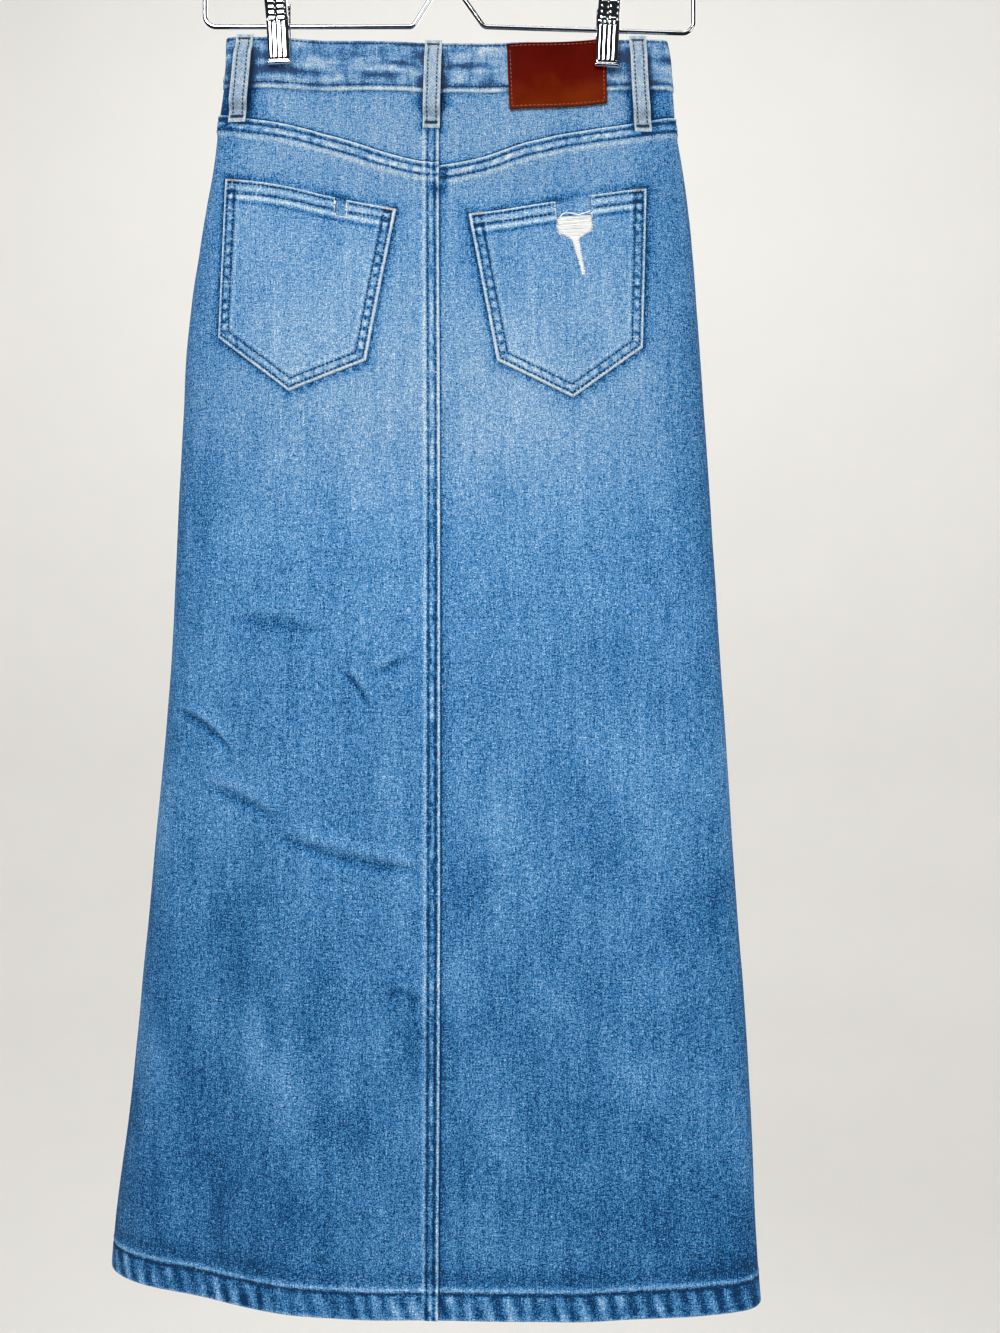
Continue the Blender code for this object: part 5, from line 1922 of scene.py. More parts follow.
@dataclass
class FrayedWeft:
    """White weft left across the worn place of the right pocket, joined in one piece."""

    form: HungForm
    above: float = 1.75
    radius: float = 0.20
    strands: list[Array] = field(default_factory=list)

    def lay(self, girth: Array, drop: Array, lift: Array) -> None:
        """Adds one thread through places on the cloth, in millimetres.

        Args:
            girth: girths of its points.
            drop: drops of its points.
            lift: heights of its points above the pocket's lowest face.
        """
        line = self.form.place(girth * MM, drop * MM, (self.above + lift) * MM)
        along = np.gradient(line, axis=0)
        side = unit(np.cross(self.form.facing(girth * MM, drop * MM), along))
        up = np.cross(unit(along), side)
        turns = np.radians([45, 135, 225, 315])[:, None, None]
        size = np.full(len(girth), self.radius * MM)
        size[[0, -1]] *= 0.3
        ring = (side * np.cos(turns) + up * np.sin(turns)) * size[:, None]
        self.strands.append(np.swapaxes(line + ring, 0, 1))

    def fill(self) -> None:
        """Lays the threads over the hole, down the rip below it and loose along its upper edge."""
        chance = np.random.default_rng(7)
        steps = np.linspace(0, 1, 9)
        for drop in np.arange(136.8, 153.4, 0.43):
            low = max(drop - 148.4, 0.0)
            left = 89.0 + 1.9 * low + chance.uniform(-1.6, 0.9)
            right = 113.4 - 1.9 * low + chance.uniform(-0.9, 1.5)
            path = drop + chance.uniform(-0.5, 0.5) * (steps - 0.5) - 0.9 * (steps - 0.3)
            path = path + chance.uniform(-0.3, 0.4) * np.sin(math.pi * steps)
            lift = chance.uniform(0.0, 0.3) * np.sin(math.pi * steps)
            self.lay(left + (right - left) * steps, path, lift)
        for drop in np.arange(152.6, 179.0, 0.5):
            share = (drop - 151) / 29
            middle, reach = 100.8 + 6.2 * share, 2.7 - 1.7 * share + chance.uniform(-0.5, 0.8)
            path = drop + chance.uniform(-0.6, 0.6) * (steps - 0.5)
            self.lay(middle + reach * (2 * steps - 1), path, 0.12 * np.sin(math.pi * steps))
        across = (90.4, 92.4, 94.8, 100, 104, 113.4)
        down = (137.2, 134.6, 133.4, 134.2, 135.4, 132.6)
        fine = np.linspace(0, 5, 31)
        curved = [np.interp(fine, np.arange(6), loose) for loose in (across, down)]
        for shift in (0.0, 0.45):
            self.lay(curved[0], curved[1] + shift, 0.5 + 0.3 * np.sin(fine + shift * 4))

    def build(self, finish: Material) -> Piece:
        """Joins the threads in one mesh."""
        self.fill()
        points, faces = [], []
        for strand in self.strands:
            rings = len(strand)
            index = len(points) + np.arange(rings * 4).reshape(rings, 4)
            turned = np.roll(index, -1, axis=1)
            sides = np.stack([index[:-1], turned[:-1], turned[1:], index[1:]], axis=-1)
            faces += [*sides.reshape(-1, 4).tolist(), index[0][::-1].tolist(), index[-1].tolist()]
            points += strand.reshape(-1, 3).tolist()
        piece = new_piece("frayed_weft", np.array(points), faces, finish)
        settle(piece, Slot.THREAD, smooth_angle=80)
        return piece


@dataclass
class LeatherPatch:
    """Bare leather patch across the waistband's lower edge, stitched on all round.

    Its sizes are in millimetres.
    """

    form: HungForm
    finishes: Finishes
    width: float = 73.0
    tall: float = 49.4
    wall: float = 1.6
    standoff: float = 1.2
    row_in: float = 2.1

    def _corners(self) -> list[Array]:
        """The patch's (girth, drop) corners, clockwise from the upper left."""
        return [np.array(corner) for corner in ((53.6, 2.2), (126.6, -0.4), (127.6, 47.4), (55.4, 51.8))]

    def _lift(self, rim: Array, drop: Array) -> Array:
        """Height of the outer face, in millimetres, from its distance to the rim."""
        settled = self.standoff + self.wall - 0.5 * ease((drop - 39) / 9)
        return settled - 0.55 * (1 - np.sqrt(ease(rim / 0.9))) - 0.22 * bell(rim - self.row_in, 0.7)

    def build(self) -> Piece:
        """Makes the patch."""
        corners = self._corners()
        edge = spaced((0.3, 0.15), (0.9, 0.3), (3.3, 0.4)) / MM
        across, down = (
            np.concatenate([edge, np.linspace(edge[-1], reach - edge[-1], count)[1:-1], reach - edge[::-1]])
            for reach, count in ((self.width, 42), (self.tall, 28))
        )
        s, t = across[None, :, None] / self.width, down[:, None, None] / self.tall
        upper, lower = corners[0] * (1 - s) + corners[1] * s, corners[3] * (1 - s) + corners[2] * s
        grid = upper * (1 - t) + lower * t
        g, d = grid[..., 0], grid[..., 1]
        rim = within(g, d, corners)
        lift = self._lift(np.maximum(rim, 0), d) + 0.10 * MOTTLE.at(g / 15, d / 13)
        stored = {"fall": t[..., 0] + 0 * g, "edge": bell(rim, 0.55)}
        leather = self.finishes.leather
        sheet = Sheet("patch_leather", g * MM, d * MM, lift * MM, stored, thickness=1.45 * MM)
        return sheet.hang(self.form, Slot.LEATHER, "patch", ["waistband_cloth"], leather, leather)

    def sew(self, stitching: Stitching) -> None:
        """Adds the row of stitches inside the patch's edge."""
        path = inset(self._corners(), self.row_in)
        points = walk([*path, path[0]])
        lift = self._lift(np.full(len(points), self.row_in), points[:, 1]) + 0.05
        stitching.row(self.form, points[:, 0] * MM, points[:, 1] * MM, lift * MM)


# Hand modelling


class Bench:
    """Hand modelling of one hard piece, edit by edit."""

    def __init__(self, name: str) -> None:
        """Starts a piece of a name."""
        self.name = name
        self.piece: Optional[Piece] = None

    def _begin(self) -> None:
        """Names the primitive just added and opens it for editing."""
        self.piece = bpy.context.object
        self.piece.name = self.piece.data.name = self.name
        bpy.ops.object.transform_apply(location=True, rotation=True, scale=True)
        bpy.ops.object.mode_set(mode="EDIT")
        bpy.ops.mesh.select_mode(type="VERT")
        bpy.ops.mesh.select_all(action="SELECT")

    def ring(self, radius: float, count: int, place: Vector, heading: Vector) -> "Bench":
        """Starts with an open ring at a place, square to a heading."""
        bpy.ops.object.select_all(action="DESELECT")
        turn = heading.to_track_quat("Z", "Y").to_euler()
        bpy.ops.mesh.primitive_circle_add(vertices=count, radius=radius, location=place, rotation=turn)
        self._begin()
        return self

    def block(self, width: float, height: float, depth: float) -> "Bench":
        """Starts with a block round the origin."""
        bpy.ops.object.select_all(action="DESELECT")
        bpy.ops.mesh.primitive_cube_add(size=1, scale=(width, height, depth))
        self._begin()
        return self

    def plate(self, width: float, height: float, columns: int, rows: int, low: float) -> "Bench":
        """Starts with a flat plate in the XY plane, from Y = low up."""
        bpy.ops.object.select_all(action="DESELECT")
        bpy.ops.mesh.primitive_grid_add(
            x_subdivisions=columns, y_subdivisions=rows, size=1, location=(0, low + height / 2, 0)
        )
        bpy.context.object.scale = (width, height, 1)
        self._begin()
        return self

    def extrude(self, move: Sequence[float], grow: float = 1.0) -> "Bench":
        """Extrudes what is selected along a move, and resizes its new end."""
        bpy.ops.mesh.extrude_region_move(TRANSFORM_OT_translate={"value": tuple(move)})
        if grow != 1.0:
            bpy.ops.transform.resize(value=(grow, grow, grow))
        return self

    def bend(self, centre: Vector, axis: Vector, turn: float, steps: int) -> "Bench":
        """Spins the open end round a centre, by the right hand about an axis."""
        bpy.ops.mesh.spin(steps=steps, angle=-turn, center=tuple(centre), axis=tuple(axis), dupli=False)
        return self

    def pick(self, test: Callable[[Vector], bool], kind: str = "VERT") -> "Bench":
        """Selects the points, or the faces by their middles, that pass a test."""
        bpy.ops.mesh.select_mode(type=kind)
        bpy.ops.mesh.select_all(action="DESELECT")
        work = bmesh.from_edit_mesh(self.piece.data)
        for item in work.verts if kind == "VERT" else work.faces:
            item.select_set(test(item.co if kind == "VERT" else item.calc_center_median()))
        work.select_flush_mode()
        bmesh.update_edit_mesh(self.piece.data)
        return self

    def move(self, *shift: float) -> "Bench":
        """Moves what is selected."""
        bpy.ops.transform.translate(value=shift)
        return self

    def resize(self, x: float, y: float, z: float) -> "Bench":
        """Resizes what is selected round its middle."""
        bpy.ops.transform.resize(value=(x, y, z))
        return self

    def cap(self) -> "Bench":
        """Closes the ring that is selected."""
        bpy.ops.mesh.edge_face_add()
        return self

    def close(self) -> "Bench":
        """Leaves editing, with the normals outwards."""
        bpy.ops.mesh.select_all(action="SELECT")
        bpy.ops.mesh.remove_doubles(threshold=0.00001)
        bpy.ops.mesh.normals_make_consistent(inside=False)
        bpy.ops.object.mode_set(mode="OBJECT")
        return self

    def modify(self, kind: str, **settings: Any) -> "Bench":
        """Adds a modifier and applies it."""
        modifier = self.piece.modifiers.new(kind.lower(), kind)
        for name, value in settings.items():
            setattr(modifier, name, value)
        apply_modifiers(self.piece)
        return self

    def set_down(self, place: Matrix) -> "Bench":
        """Carries the piece to its place, which its mesh takes on."""
        self.piece.data.transform(place)
        self.piece.data.update()
        return self

    def done(self, finish: Material, slot: Slot, *nodes: str, angle: float = 40) -> Piece:
        """Gives the piece its finish and joins it to the frame."""
        self.piece.data.materials.clear()
        self.piece.data.materials.append(finish)
        settle(self.piece, slot, *nodes, smooth_angle=angle)
        return self.piece


def turned(name: str, rings: Sequence[tuple[float, float]], count: int = 48) -> Bench:
    """Round piece extruded ring by ring up from the origin.

    Args:
        name: the piece's name.
        rings: radius and height of each ring, in millimetres.
        count: number of points round it.

    Returns:
        The bench, with the piece closed.
    """
    (radius, height), *others = rings
    bench = Bench(name).ring(radius * MM, count, Vector((0, 0, height * MM)), Vector((0, 0, 1))).cap()
    for next_radius, next_height in others:
        bench.extrude((0, 0, (next_height - height) * MM), next_radius / radius)
        radius, height = next_radius, next_height
    return bench.close()


def on_cloth(form: HungForm, girth: float, drop: float, lift: float) -> Matrix:
    """Place of a piece laid on the cloth: X across, Y upwards and Z outwards."""
    place = Vector(form.place(girth, drop, lift).reshape(3))
    out = Vector(form.facing(girth, drop).reshape(3)).normalized()
    across = Vector((0, 0, 1)).cross(out).normalized()
    turn = Matrix((across, out.cross(across), out)).transposed().to_4x4()
    return Matrix.Translation(place) @ turn


# Closure


@dataclass
class ZipTeeth(Stitching):
    """Crimped metal teeth of the zip, joined in one piece."""

    slot: Slot = Slot.BRASS

    def model(self) -> tuple[Array, list[tuple[int, ...]]]:
        """One tooth, 1 long along X: a block whose head is drawn in."""
        bench = Bench("tooth").block(1, 2, 2)
        bench.pick(lambda place: place.z > 0.9, "FACE").extrude((0, 0, 0.2), 0.7)
        return take_apart(bench.piece)


@dataclass
class Closure:
    """Closed zip, the shield behind it and the waist button, at the centre front."""

    form: HungForm
    finishes: Finishes
    top: float = 38.1 * MM
    length: float = 150 * MM
    neck: float = 56.5 * MM
    middle: float = 11.5 * MM
    tape_lift: float = -2.45 * MM
    tape_dip: float = -3.6 * MM
    shield_lift: float = -5.6 * MM
    button_drop: float = 18.75 * MM
    buttonhole: tuple[float, float] = (11.5 * MM, 2.4 * MM)

    def _from_front(self, edge: Numbers, drop: Numbers) -> Array:
        """Girth of a place measured from the centre front towards the wearer's left."""
        return edge - self.form.half(drop)

    def _strip(self, edges: Array, step: float) -> tuple[Array, Array]:
        """Girths and drops of a strip down the closure, columns by growing girth."""
        drop = np.arange(self.top, self.top + self.length + step / 2, step)[:, None] + 0 * edges
        return self._from_front(edges, drop), drop

    def build_shield(self) -> Piece:
        """Makes the doubled strip behind the zip."""
        edges = np.linspace(-12, 34, 30) * MM
        girth, drop = self._strip(edges, 2.5 * MM)
        shade = 0.44 + 0.04 * MOTTLE.at(edges / (9 * MM), drop / (13 * MM))
        lift = self.shield_lift + 0 * drop
        denim = self.finishes.denim
        sheet = Sheet("fly_shield_cloth", girth, drop, lift, {"shade": shade}, thickness=1.4 * MM)
        return sheet.hang(self.form, Slot.DENIM, "fly_shield", ["waistband_cloth"], denim, denim)

    def build_zip(self) -> list[Piece]:
        """Makes the tape and its teeth."""
        edges = np.linspace(-4, 27, 32) * MM
        girth, drop = self._strip(edges, 1.5 * MM)
        inner = between(edges / MM, 5, 18, 3)
        lift = self.tape_lift + (self.tape_dip - self.tape_lift) * inner + 0 * drop
        off = np.abs((edges[1:] + edges[:-1]) / 2 - self.middle)
        gap = (off < 5 * MM) & (drop[:-1, :1] < self.neck)
        sheet = Sheet("zip_tape", girth, drop, lift, {}, left_out=gap, thickness=0.7 * MM)
        fronts = ["front_left_cloth", "front_right_cloth"]
        tape = sheet.hang(self.form, Slot.TAPE, "zip", fronts, self.finishes.tape, self.finishes.tape)
        teeth = ZipTeeth("zip_teeth", length=3.2 * MM, radius=0.55 * MM)
        drops = np.arange(self.neck + 1 * MM, self.top + self.length - 2 * MM, 1.5 * MM)
        side = np.where(np.arange(len(drops)) % 2, 0.45, -0.45) * MM
        girths = self._from_front(self.middle + side, drops)
        teeth.bar(self.form, girths, drops, self.tape_dip + 0.3 * MM, np.array([1.0, 0.0]) * MM)
        return [tape, teeth.build(self.finishes.brass)]

    def build_slider(self) -> Piece:
        """Makes the slider with its pull, which hangs down from the slider's neck."""
        bench = Bench("slider").block(9.4 * MM, 10.6 * MM, 1.1 * MM)
        bench.pick(lambda place: place.y < -1 * MM).resize(0.62, 1, 1)
        bench.pick(lambda place: place.z > 0.1 * MM, "FACE").extrude((0, 0, 0.1 * MM), 0.85)
        bench.pick(lambda place: True).close()
        bench.modify("BEVEL", width=0.35 * MM, segments=3, limit_method="ANGLE")
        body = bench.piece
        back = show(body.copy())
        back.data = body.data.copy()
        back.data.transform(Matrix.Translation((0, 0, -2.2 * MM)))
        post = Bench("slider_post").block(1.8 * MM, 3 * MM, 2.2 * MM).close()
        post.set_down(Matrix.Translation((0, 3 * MM, -1.1 * MM)))
        pull = Bench("pull").block(6 * MM, 23 * MM, 1.0 * MM)
        pull.pick(lambda place: place.y > 0).resize(0.66, 1, 1)
        pull.pick(lambda place: True).close()
        pull.modify("BEVEL", width=0.8 * MM, segments=3, limit_method="ANGLE")
        pull.set_down(Matrix.Translation((0, -17.3 * MM, 0.1 * MM)))
        bpy.ops.object.select_all(action="DESELECT")
        for part in (body, back, post.piece, pull.piece):
            part.select_set(True)
        bpy.context.view_layer.objects.active = body
        bpy.ops.object.join()
        body.name = "zip_slider_and_pull"
        middle = self.neck - 5.4 * MM
        girth = float(self._from_front(self.middle, middle))
        body.data.transform(on_cloth(self.form, girth, middle, -2.9 * MM))
        body.data.materials.clear()
        body.data.materials.append(self.finishes.brass)
        settle(body, Slot.BRASS, "zip_slider")
        return body

    def build_button(self) -> Piece:
        """Makes the plain dished button."""
        rim = ((7.6, 0.0), (8.5, 0.7), (8.5, 1.6), (8.1, 2.3), (7.3, 2.9), (6.5, 3.2), (5.9, 3.1))
        rings = (*rim, (5.3, 2.6), (4.0, 2.5), (2.4, 2.75), (0.8, 2.9))
        bench = turned("button", rings, 64)
        girth = float(self._from_front(0, self.button_drop))
        bench.set_down(on_cloth(self.form, girth, self.button_drop, 1.2 * MM))
        return bench.done(self.finishes.brass, Slot.BRASS, "waist_button", angle=50)

    def sew(self, stitching: Stitching) -> None:
        """Adds the buttonhole round the button."""
        turns = np.radians(np.arange(0, 360, 9))
        across, down = self.buttonhole[0] * np.cos(turns), self.buttonhole[1] * np.sin(turns)
        for angle, x, y in zip(turns, across, down):
            girth = np.array([float(self._from_front(x - 3 * MM, self.button_drop))])
            drop = np.array([self.button_drop + y])
            along = np.array([0.3 * math.cos(angle), math.sin(angle) + 0.01]) * MM
            stitching.bar(self.form, girth, drop, 0.85 * MM, along)


# The hanger


@dataclass
class WireHanger:
    """Chrome hanger: one bent wire, the ferrule that grips its ends, and the hook."""

    finishes: Finishes
    wire_radius: float = 1.65 * MM
    bar_z: float = -125 * MM
    bar_fall: float = 5 * MM
    side_left_x: float = -177.2 * MM
    side_right_x: float = 179.8 * MM
    shoulder_z: float = -96 * MM
    notch_left_x: float = -25.2 * MM
    notch_right_x: float = 26.7 * MM
    notch_top: tuple[float, float] = (-1 * MM, -86 * MM)
    twin_x: float = 1.95 * MM
    twin_drop: float = 5 * MM
    hook_radius: float = 1.9 * MM
    hook_inside: float = 21 * MM
    hook_neck: float = 6 * MM
    hook_start_z: float = -53 * MM
    hook_end: float = 212
    ferrule_height: float = 13 * MM
    gap: float = 0.3 * MM

    def _wire_corners(self) -> tuple[list[Vector], tuple[float, ...]]:
        """Corners of the wire's path and the radii of its bends."""
        start = self.hook_start_z - self.ferrule_height - 2 * self.gap
        outline = (
            (-self.twin_x, start),
            (-self.twin_x, start - self.twin_drop),
            (self.side_left_x, self.shoulder_z),
            (self.side_left_x, self.bar_z),
            (self.notch_left_x, self.bar_z),
            self.notch_top,
            (self.notch_right_x, self.bar_z),
            (self.side_right_x, self.bar_z - self.bar_fall),
            (self.side_right_x, self.shoulder_z),
            (self.twin_x, start - self.twin_drop),
            (self.twin_x, start),
        )
        radii = (3, 10, 8, 5, 5, 5, 8, 10, 3)
        return [Vector((x, 0, z)) for x, z in outline], tuple(radius * MM for radius in radii)

    def build_wire(self) -> Piece:
        """Makes the shoulders, sides and notched bar."""
        corners, radii = self._wire_corners()
        here = corners[0]
        bench = Bench("bent_wire").ring(self.wire_radius, 20, here, corners[1] - corners[0])
        for before, corner, after, radius in zip(corners, corners[1:], corners[2:], radii):
            back, on = (before - corner).normalized(), (after - corner).normalized()
            opening = back.angle(on)
            reach = radius / math.tan(opening / 2)
            bench.extrude(corner + back * reach - here)
            centre = corner + (back + on).normalized() * radius / math.sin(opening / 2)
            turn = math.pi - opening
            bench.bend(centre, on.cross(back).normalized(), turn, max(4, round(math.degrees(turn) / 7)))
            here = corner + on * reach
        bench.extrude(corners[-1] - here)
        bench.close()
        return bench.done(self.finishes.chrome, Slot.CHROME, "hanger_wire")

    def build_hook(self) -> Piece:
        """Makes the round hook on its S-shaped neck."""
        ring = self.hook_inside + self.hook_radius
        rise = math.sqrt(ring**2 + 2 * ring * self.hook_neck)
        centre = Vector((0, 0, -self.hook_inside))
        neck = Vector((self.hook_neck, 0, -self.hook_inside - rise))
        meeting = math.atan2(-rise, self.hook_neck)
        up = Vector((0, 0, 1))
        bench = Bench("round_hook").ring(self.hook_radius, 24, up * self.hook_start_z, up)
        bench.extrude((0, 0, neck.z - self.hook_start_z))
        bench.bend(neck, Vector((0, 1, 0)), -meeting, 10)
        turn = math.radians(self.hook_end) - meeting
        bench.bend(centre, Vector((0, -1, 0)), turn, round(math.degrees(turn) / 5))
        end = math.radians(self.hook_end)
        heading = Vector((-math.sin(end), 0, math.cos(end)))
        for reach, size in ((0.55, 0.86), (0.4, 0.75), (0.25, 0.55), (0.1, 0.3)):
            bench.extrude(heading * self.hook_radius * reach, size)
        bench.cap().close()
        return bench.done(self.finishes.chrome, Slot.CHROME, "hanger_hook")

    def build_ferrule(self) -> Piece:
        """Makes the rolled sleeve that holds the wire's ends."""
        foot = ((3.6, 0.0), (4.3, 0.25), (4.6, 0.9), (4.6, 2.2), (4.2, 2.6), (4.2, 3.0), (4.6, 3.4))
        head = ((4.6, 9.6), (4.2, 10.0), (4.2, 10.4), (4.6, 10.8), (4.6, 12.1), (4.3, 12.75), (3.6, 13.0))
        rings = (*foot, *head, (2.0, 13.05))
        bench = turned("ferrule", rings, 40)
        bench.set_down(Matrix.Translation((0, 0, self.hook_start_z - self.gap - self.ferrule_height)))
        return bench.done(self.finishes.chrome, Slot.CHROME, "hanger_ferrule")

    def bar_at(self, x: float) -> float:
        """Height of the bar's middle at a place along it."""
        share = max(x - self.notch_right_x, 0) / (self.side_right_x - self.notch_right_x)
        return self.bar_z - share * self.bar_fall


class Bend(NamedTuple):
    """Height above the bar and distance from the cloth's middle of a bend in a clip's plate."""

    height: float
    away: float


@dataclass
class SprungClip:
    """Pressed clip: two fluted plates and the spring that shuts them, hung on the bar.

    Its place and the bar's height are in metres, and its other sizes in millimetres.
    """

    side: Side
    x: float
    bar: float
    finishes: Finishes
    jaw_back: float = 3.6
    jaw_front: float = 3.6
    width: float = 16.8
    top: float = 22.0
    bottom: float = -30.2
    lowered: float = 0.0
    rows: int = 74
    columns: int = 24
    flute_pitch: float = 3.5
    flute_top: float = 4.6
    flute_end: float = -26.2
    lowest_pad: int = 50
    pad_rises: tuple[float, ...] = (1.15, 0.80, 0.45, 0.10)
    pad_x: float = 3.4
    lean: float = 2.6

    def _away(self, height: float, jaw: float) -> float:
        """Distance of the plate's face from the cloth's middle at a height."""
        bends = (Bend(self.bottom, jaw + 2.4), Bend(-4, jaw + 2.4), Bend(0, jaw + 2.7), Bend(4, 6.6))
        bends += (Bend(9, 8.3), Bend(15, 10.8), Bend(22, 13.0))
        return float(np.interp(height, [bend.height for bend in bends], [bend.away for bend in bends]))

    def _press(self, bench: Bench) -> None:
        """Presses the flutes and the slanted finger pads outwards."""
        half = self.flute_pitch / 2
        for reach, rise in ((0.92, 0.12), (0.66, 0.50), (0.25, 0.05)):
            def on_flute(place: Vector, reach: float = reach) -> bool:
                """Whether a point lies on a flute, so near its middle."""
                x, y = place.x / MM, place.y / MM
                off = abs((x + self.flute_pitch * 2) % self.flute_pitch - half)
                upper = self.flute_top - self.lowered - 1.2 * (1 - reach)
                long_enough = self.flute_end + 1.6 * (1 - reach) < y < upper
                return off < reach * half and abs(x) < self.flute_pitch * 2 and long_enough

            bench.pick(on_flute).move(0, 0, rise * MM)
        step = (self.top - self.bottom) / self.rows
        for pad in range(4):
            for line, rise in enumerate(self.pad_rises):
                row = self.lowest_pad + pad * (len(self.pad_rises) + 1) + line - round(self.lowered / step)
                if row >= self.rows:
                    continue

                def on_pad(place: Vector, row: int = row) -> bool:
                    """Whether a point lies on a line of a pad."""
                    level = place.y / MM - self.bottom - row * step
                    return abs(abs(place.x / MM) - self.pad_x) < 2.7 and abs(level) < 0.4 * step

                bench.pick(on_pad).move(0, 0, rise * MM)

    def _fold_sides(self, bench: Bench) -> None:
        """Folds the long edges back and rolls the lip."""
        for edge, fall in ((0.46, 0.25), (0.49, 0.95)):
            bench.pick(lambda place, edge=edge: abs(place.x) > self.width * MM * edge)
            bench.move(0, 0, -fall * MM)
        lip = (self.bottom - 0.9) * MM, (self.flute_end - 0.6) * MM
        bench.pick(lambda place: lip[0] < place.y < lip[1]).resize(1.10, 1, 1).move(0, 0, 0.45 * MM)
        bench.pick(lambda place: abs(place.y - (self.bottom + 1.9) * MM) < 0.8 * MM).move(0, 0, 0.75 * MM)
        bench.pick(lambda place: place.y < (self.bottom + 0.4) * MM).move(0, 0, -1.9 * MM)
        bench.pick(lambda place: place.y > (self.top - 0.4) * MM).move(0, 0, -0.8 * MM)

    def _build_plate(self, which: str, face: int, jaw: float) -> Piece:
        """Makes one plate.

        Args:
            which: "back" or "front".
            face: side of Y that the plate looks to.
            jaw: distance of its grip from the cloth's middle.

        Returns:
            The plate.
        """
        name = f"clip_{self.side.value}_{which}"
        height = self.top - self.bottom
        bench = Bench(f"{name}_plate")
        bench.plate(self.width * MM, height * MM, self.columns, self.rows, self.bottom * MM)
        self._press(bench)
        self._fold_sides(bench)
        for row in range(self.rows + 1):
            level = self.bottom + height * row / self.rows
            near = height / self.rows * 0.4
            bench.pick(lambda place, level=level, near=near: abs(place.y / MM - level) < near)
            bench.move(0, 0, self._away(level, jaw) * MM)
        bpy.ops.object.mode_set(mode="OBJECT")
        bench.modify("SOLIDIFY", thickness=1.0 * MM, offset=-1)
        bench.modify("SUBSURF", levels=1, render_levels=1)
        lean = Matrix.Rotation(math.radians(self.lean * self.side.sign), 4, "Y")
        stand = Matrix.Rotation(math.radians(90), 4, "X")
        if face > 0:
            stand = Matrix.Rotation(math.pi, 4, "Z") @ stand
        bench.set_down(Matrix.Translation((self.x, 0, self.bar)) @ lean @ stand)
        return bench.done(self.finishes.chrome, Slot.CHROME, name, angle=55)

    def build_spring(self) -> Piece:
        """Makes the coil round the bar."""
        start = Vector((-5.4 * MM, 0, 2.5 * MM))
        bench = Bench(f"clip_{self.side.value}_coil").ring(0.42 * MM, 10, start, Vector((0, 1, 0))).close()
        bench.modify(
            "SCREW",
            axis="X",
            steps=20,
            render_steps=20,
            iterations=11,
            screw_offset=0.98 * MM,
            use_normal_calculate=True,
        )
        bench.set_down(Matrix.Translation((self.x, 0, self.bar)))
        return bench.done(self.finishes.chrome, Slot.CHROME, f"clip_{self.side.value}_spring")

    def build(self) -> None:
        """Makes the clip."""
        self._build_plate("back", -1, self.jaw_back)
        self._build_plate("front", 1, self.jaw_front)
        self.build_spring()


# The studio


class Lamp(NamedTuple):
    """Soft square lamp that the camera doesn't see: its place, target, edge and power.

    A lamp that is mirrored only shows in what is polished.
    """

    name: str
    place: tuple[float, float, float]
    target: tuple[float, float, float]
    size: float
    watts: float
    mirrored_only: bool = False


LAMPS = (
    Lamp("key", (-0.78, -1.9, 0.95), (0, 0, -0.6), 1.0, 50),
    Lamp("fill", (1.9, -1.1, -0.5), (0, 0, -0.6), 1.2, 10),
    Lamp("front_side", (0.8, 2.0, 0.4), (0, 0, -0.6), 1.4, 24),
    Lamp("card", (0.05, -1.35, 1.65), (0, 0, -0.1), 0.8, 6, True),
    Lamp("wall", (-0.3, 1.9, 2.3), (1.0, 5.0, -0.7), 2.0, 88),
    Lamp("wall_behind", (1.5, -2.6, 2.6), (0, -5.0, -0.6), 2.0, 60),
)


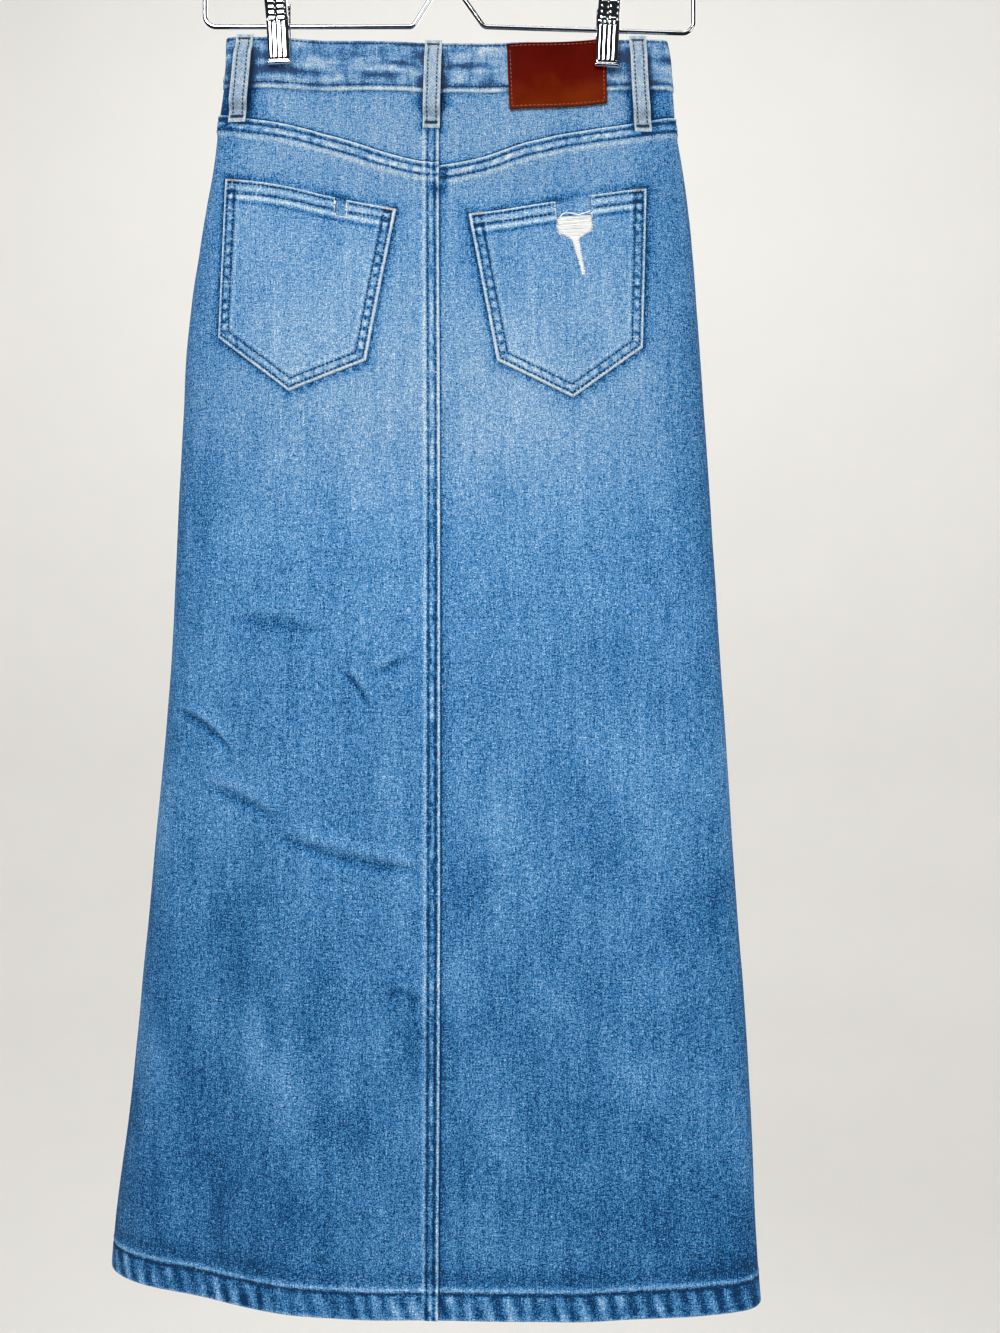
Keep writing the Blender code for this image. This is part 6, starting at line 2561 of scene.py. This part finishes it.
@dataclass
class Studio:
    """Pale sweep all round, soft lights and the camera."""

    paint: StudioPaint = StudioPaint()
    floor_z: float = -2.3
    floor_radius: float = 0.4
    eye: tuple[float, float, float] = (0.0384, -0.978, -0.5926)
    lens: float = 36.13
    air: Colour = (0.80, 0.86, 0.95, 1)
    air_strength: float = 0.55

    def build_sweep(self) -> None:
        """Makes the floor, whose rim sweeps up all round."""
        up = Vector((0, 0, 1))
        bench = Bench("studio_floor").ring(self.floor_radius, 96, up * self.floor_z, up).cap()
        reach, height = self.floor_radius, 0.0
        rises = ((1.5, 0), (3.0, 0), (3.8, 0.12), (4.4, 0.35), (4.8, 0.75), (5.0, 1.3), (5.1, 6.5))
        for radius, rise in rises:
            bench.extrude((0, 0, rise - height), radius / reach)
            reach, height = radius, rise
        bench.close()
        floor = bench.piece
        floor.data.materials.append(self.paint.material())
        floor.data.shade_smooth()

    def build_flags(self) -> None:
        """Makes the dark cloth wall round the set, which only polished metal mirrors; it glows faintly."""
        up = Vector((0, 0, 1))
        bench = Bench("studio_flags").ring(0.05, 64, Vector((0, 0, -2.2)), up)
        bench.extrude((0, 0, 0), 48).extrude((0, 0, 4.2)).extrude((0, 0, 0), 0.12).close()
        flags = bench.piece
        # The flags glow faintly, though they are no lamp, so the polished metal mirrors a dim light in
        # them.
        dark = Graph(
            "faintly_glowing_flag_cloth",
            Base_Color=(0, 0, 0, 1),
            Specular_IOR_Level=0.0,
            Emission_Color=(0.8, 0.9, 1.0, 1),
            Emission_Strength=0.025,
        )
        flags.data.materials.append(dark.material)
        flags.visible_camera = flags.visible_diffuse = flags.visible_shadow = False

    @staticmethod
    def hang(lamp: Lamp) -> None:
        """Hangs one lamp."""
        light = bpy.data.lights.new(lamp.name, "AREA")
        light.size, light.energy = lamp.size, lamp.watts
        stand = show(bpy.data.objects.new(lamp.name, light))
        stand.location = lamp.place
        heading = Vector(lamp.target) - Vector(lamp.place)
        stand.rotation_euler = heading.to_track_quat("-Z", "Y").to_euler()
        stand.visible_camera, stand.visible_diffuse = False, not lamp.mirrored_only

    def fill_air(self) -> None:
        """Sets the soft light that comes from all round."""
        world = bpy.data.worlds.new("studio_air")
        world.use_nodes = True
        background = world.node_tree.nodes["Background"].inputs
        background["Color"].default_value = self.air
        background["Strength"].default_value = self.air_strength
        bpy.context.scene.world = world
        bpy.context.scene.view_settings.view_transform = "Standard"

    def set_camera(self) -> None:
        """Stands the camera behind the skirt, level."""
        lens = bpy.data.cameras.new("camera")
        lens.lens, lens.sensor_width = self.lens, 36.0
        lens.clip_start, lens.clip_end = 0.02, 60
        camera = show(bpy.data.objects.new("camera", lens))
        camera.location = self.eye
        camera.rotation_euler = (math.radians(90), 0, 0)
        bpy.context.scene.camera = camera

    def build(self) -> None:
        """Makes the studio."""
        self.build_sweep()
        self.build_flags()
        for lamp in LAMPS:
            self.hang(lamp)
        self.fill_air()
        self.set_camera()


# Putting together


def main() -> None:
    """Builds the hung skirt, its hanger and the studio."""
    logging.basicConfig(level=logging.INFO, format="%(message)s")
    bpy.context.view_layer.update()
    finishes = Finishes()
    form = HungForm()
    plan = SewingPlan(form)
    navy = Stitching("navy_stitches")
    tacks = Stitching("navy_tacks", length=1.1 * MM, radius=0.30 * MM)
    tan = Stitching("tan_tacks", length=2.6 * MM, pitch=2.8 * MM, radius=0.24 * MM)
    brown = Stitching("brown_stitches", length=2.3 * MM, pitch=3.2 * MM, radius=0.28 * MM)

    for side in Side:
        half = SkirtHalf(side, form, plan, finishes)
        half.build_yoke()
        half.build_back()
        half.build_front()
        half.sew(navy)
        pocket = PatchPocket(side, form, plan, finishes)
        pocket.build()
        pocket.sew(navy, tan)

    band = Waistband(form, finishes)
    band.build()
    band.sew(navy)
    for loop in LOOPS:
        belt_loop = BeltLoop(loop, form, finishes)
        belt_loop.build()
        belt_loop.sew(navy, tacks)
    patch = LeatherPatch(form, finishes)
    patch.build()
    patch.sew(brown)

    closure = Closure(form, finishes)
    closure.build_shield()
    closure.build_zip()
    closure.build_slider()
    closure.build_button()
    closure.sew(tacks)

    navy.build(finishes.thread)
    tacks.build(finishes.thread)
    tan.build(finishes.tan)
    brown.build(finishes.brown)
    FrayedWeft(form).build(finishes.weft)

    hanger = WireHanger(finishes)
    hanger.build_wire()
    hanger.build_hook()
    hanger.build_ferrule()
    left, right = form.clips
    SprungClip(Side.LEFT, left, hanger.bar_at(left), finishes, lowered=2.6).build()
    SprungClip(Side.RIGHT, right, hanger.bar_at(right), finishes, jaw_back=5.65).build()

    Studio().build()


if __name__ == "__main__":
    main()
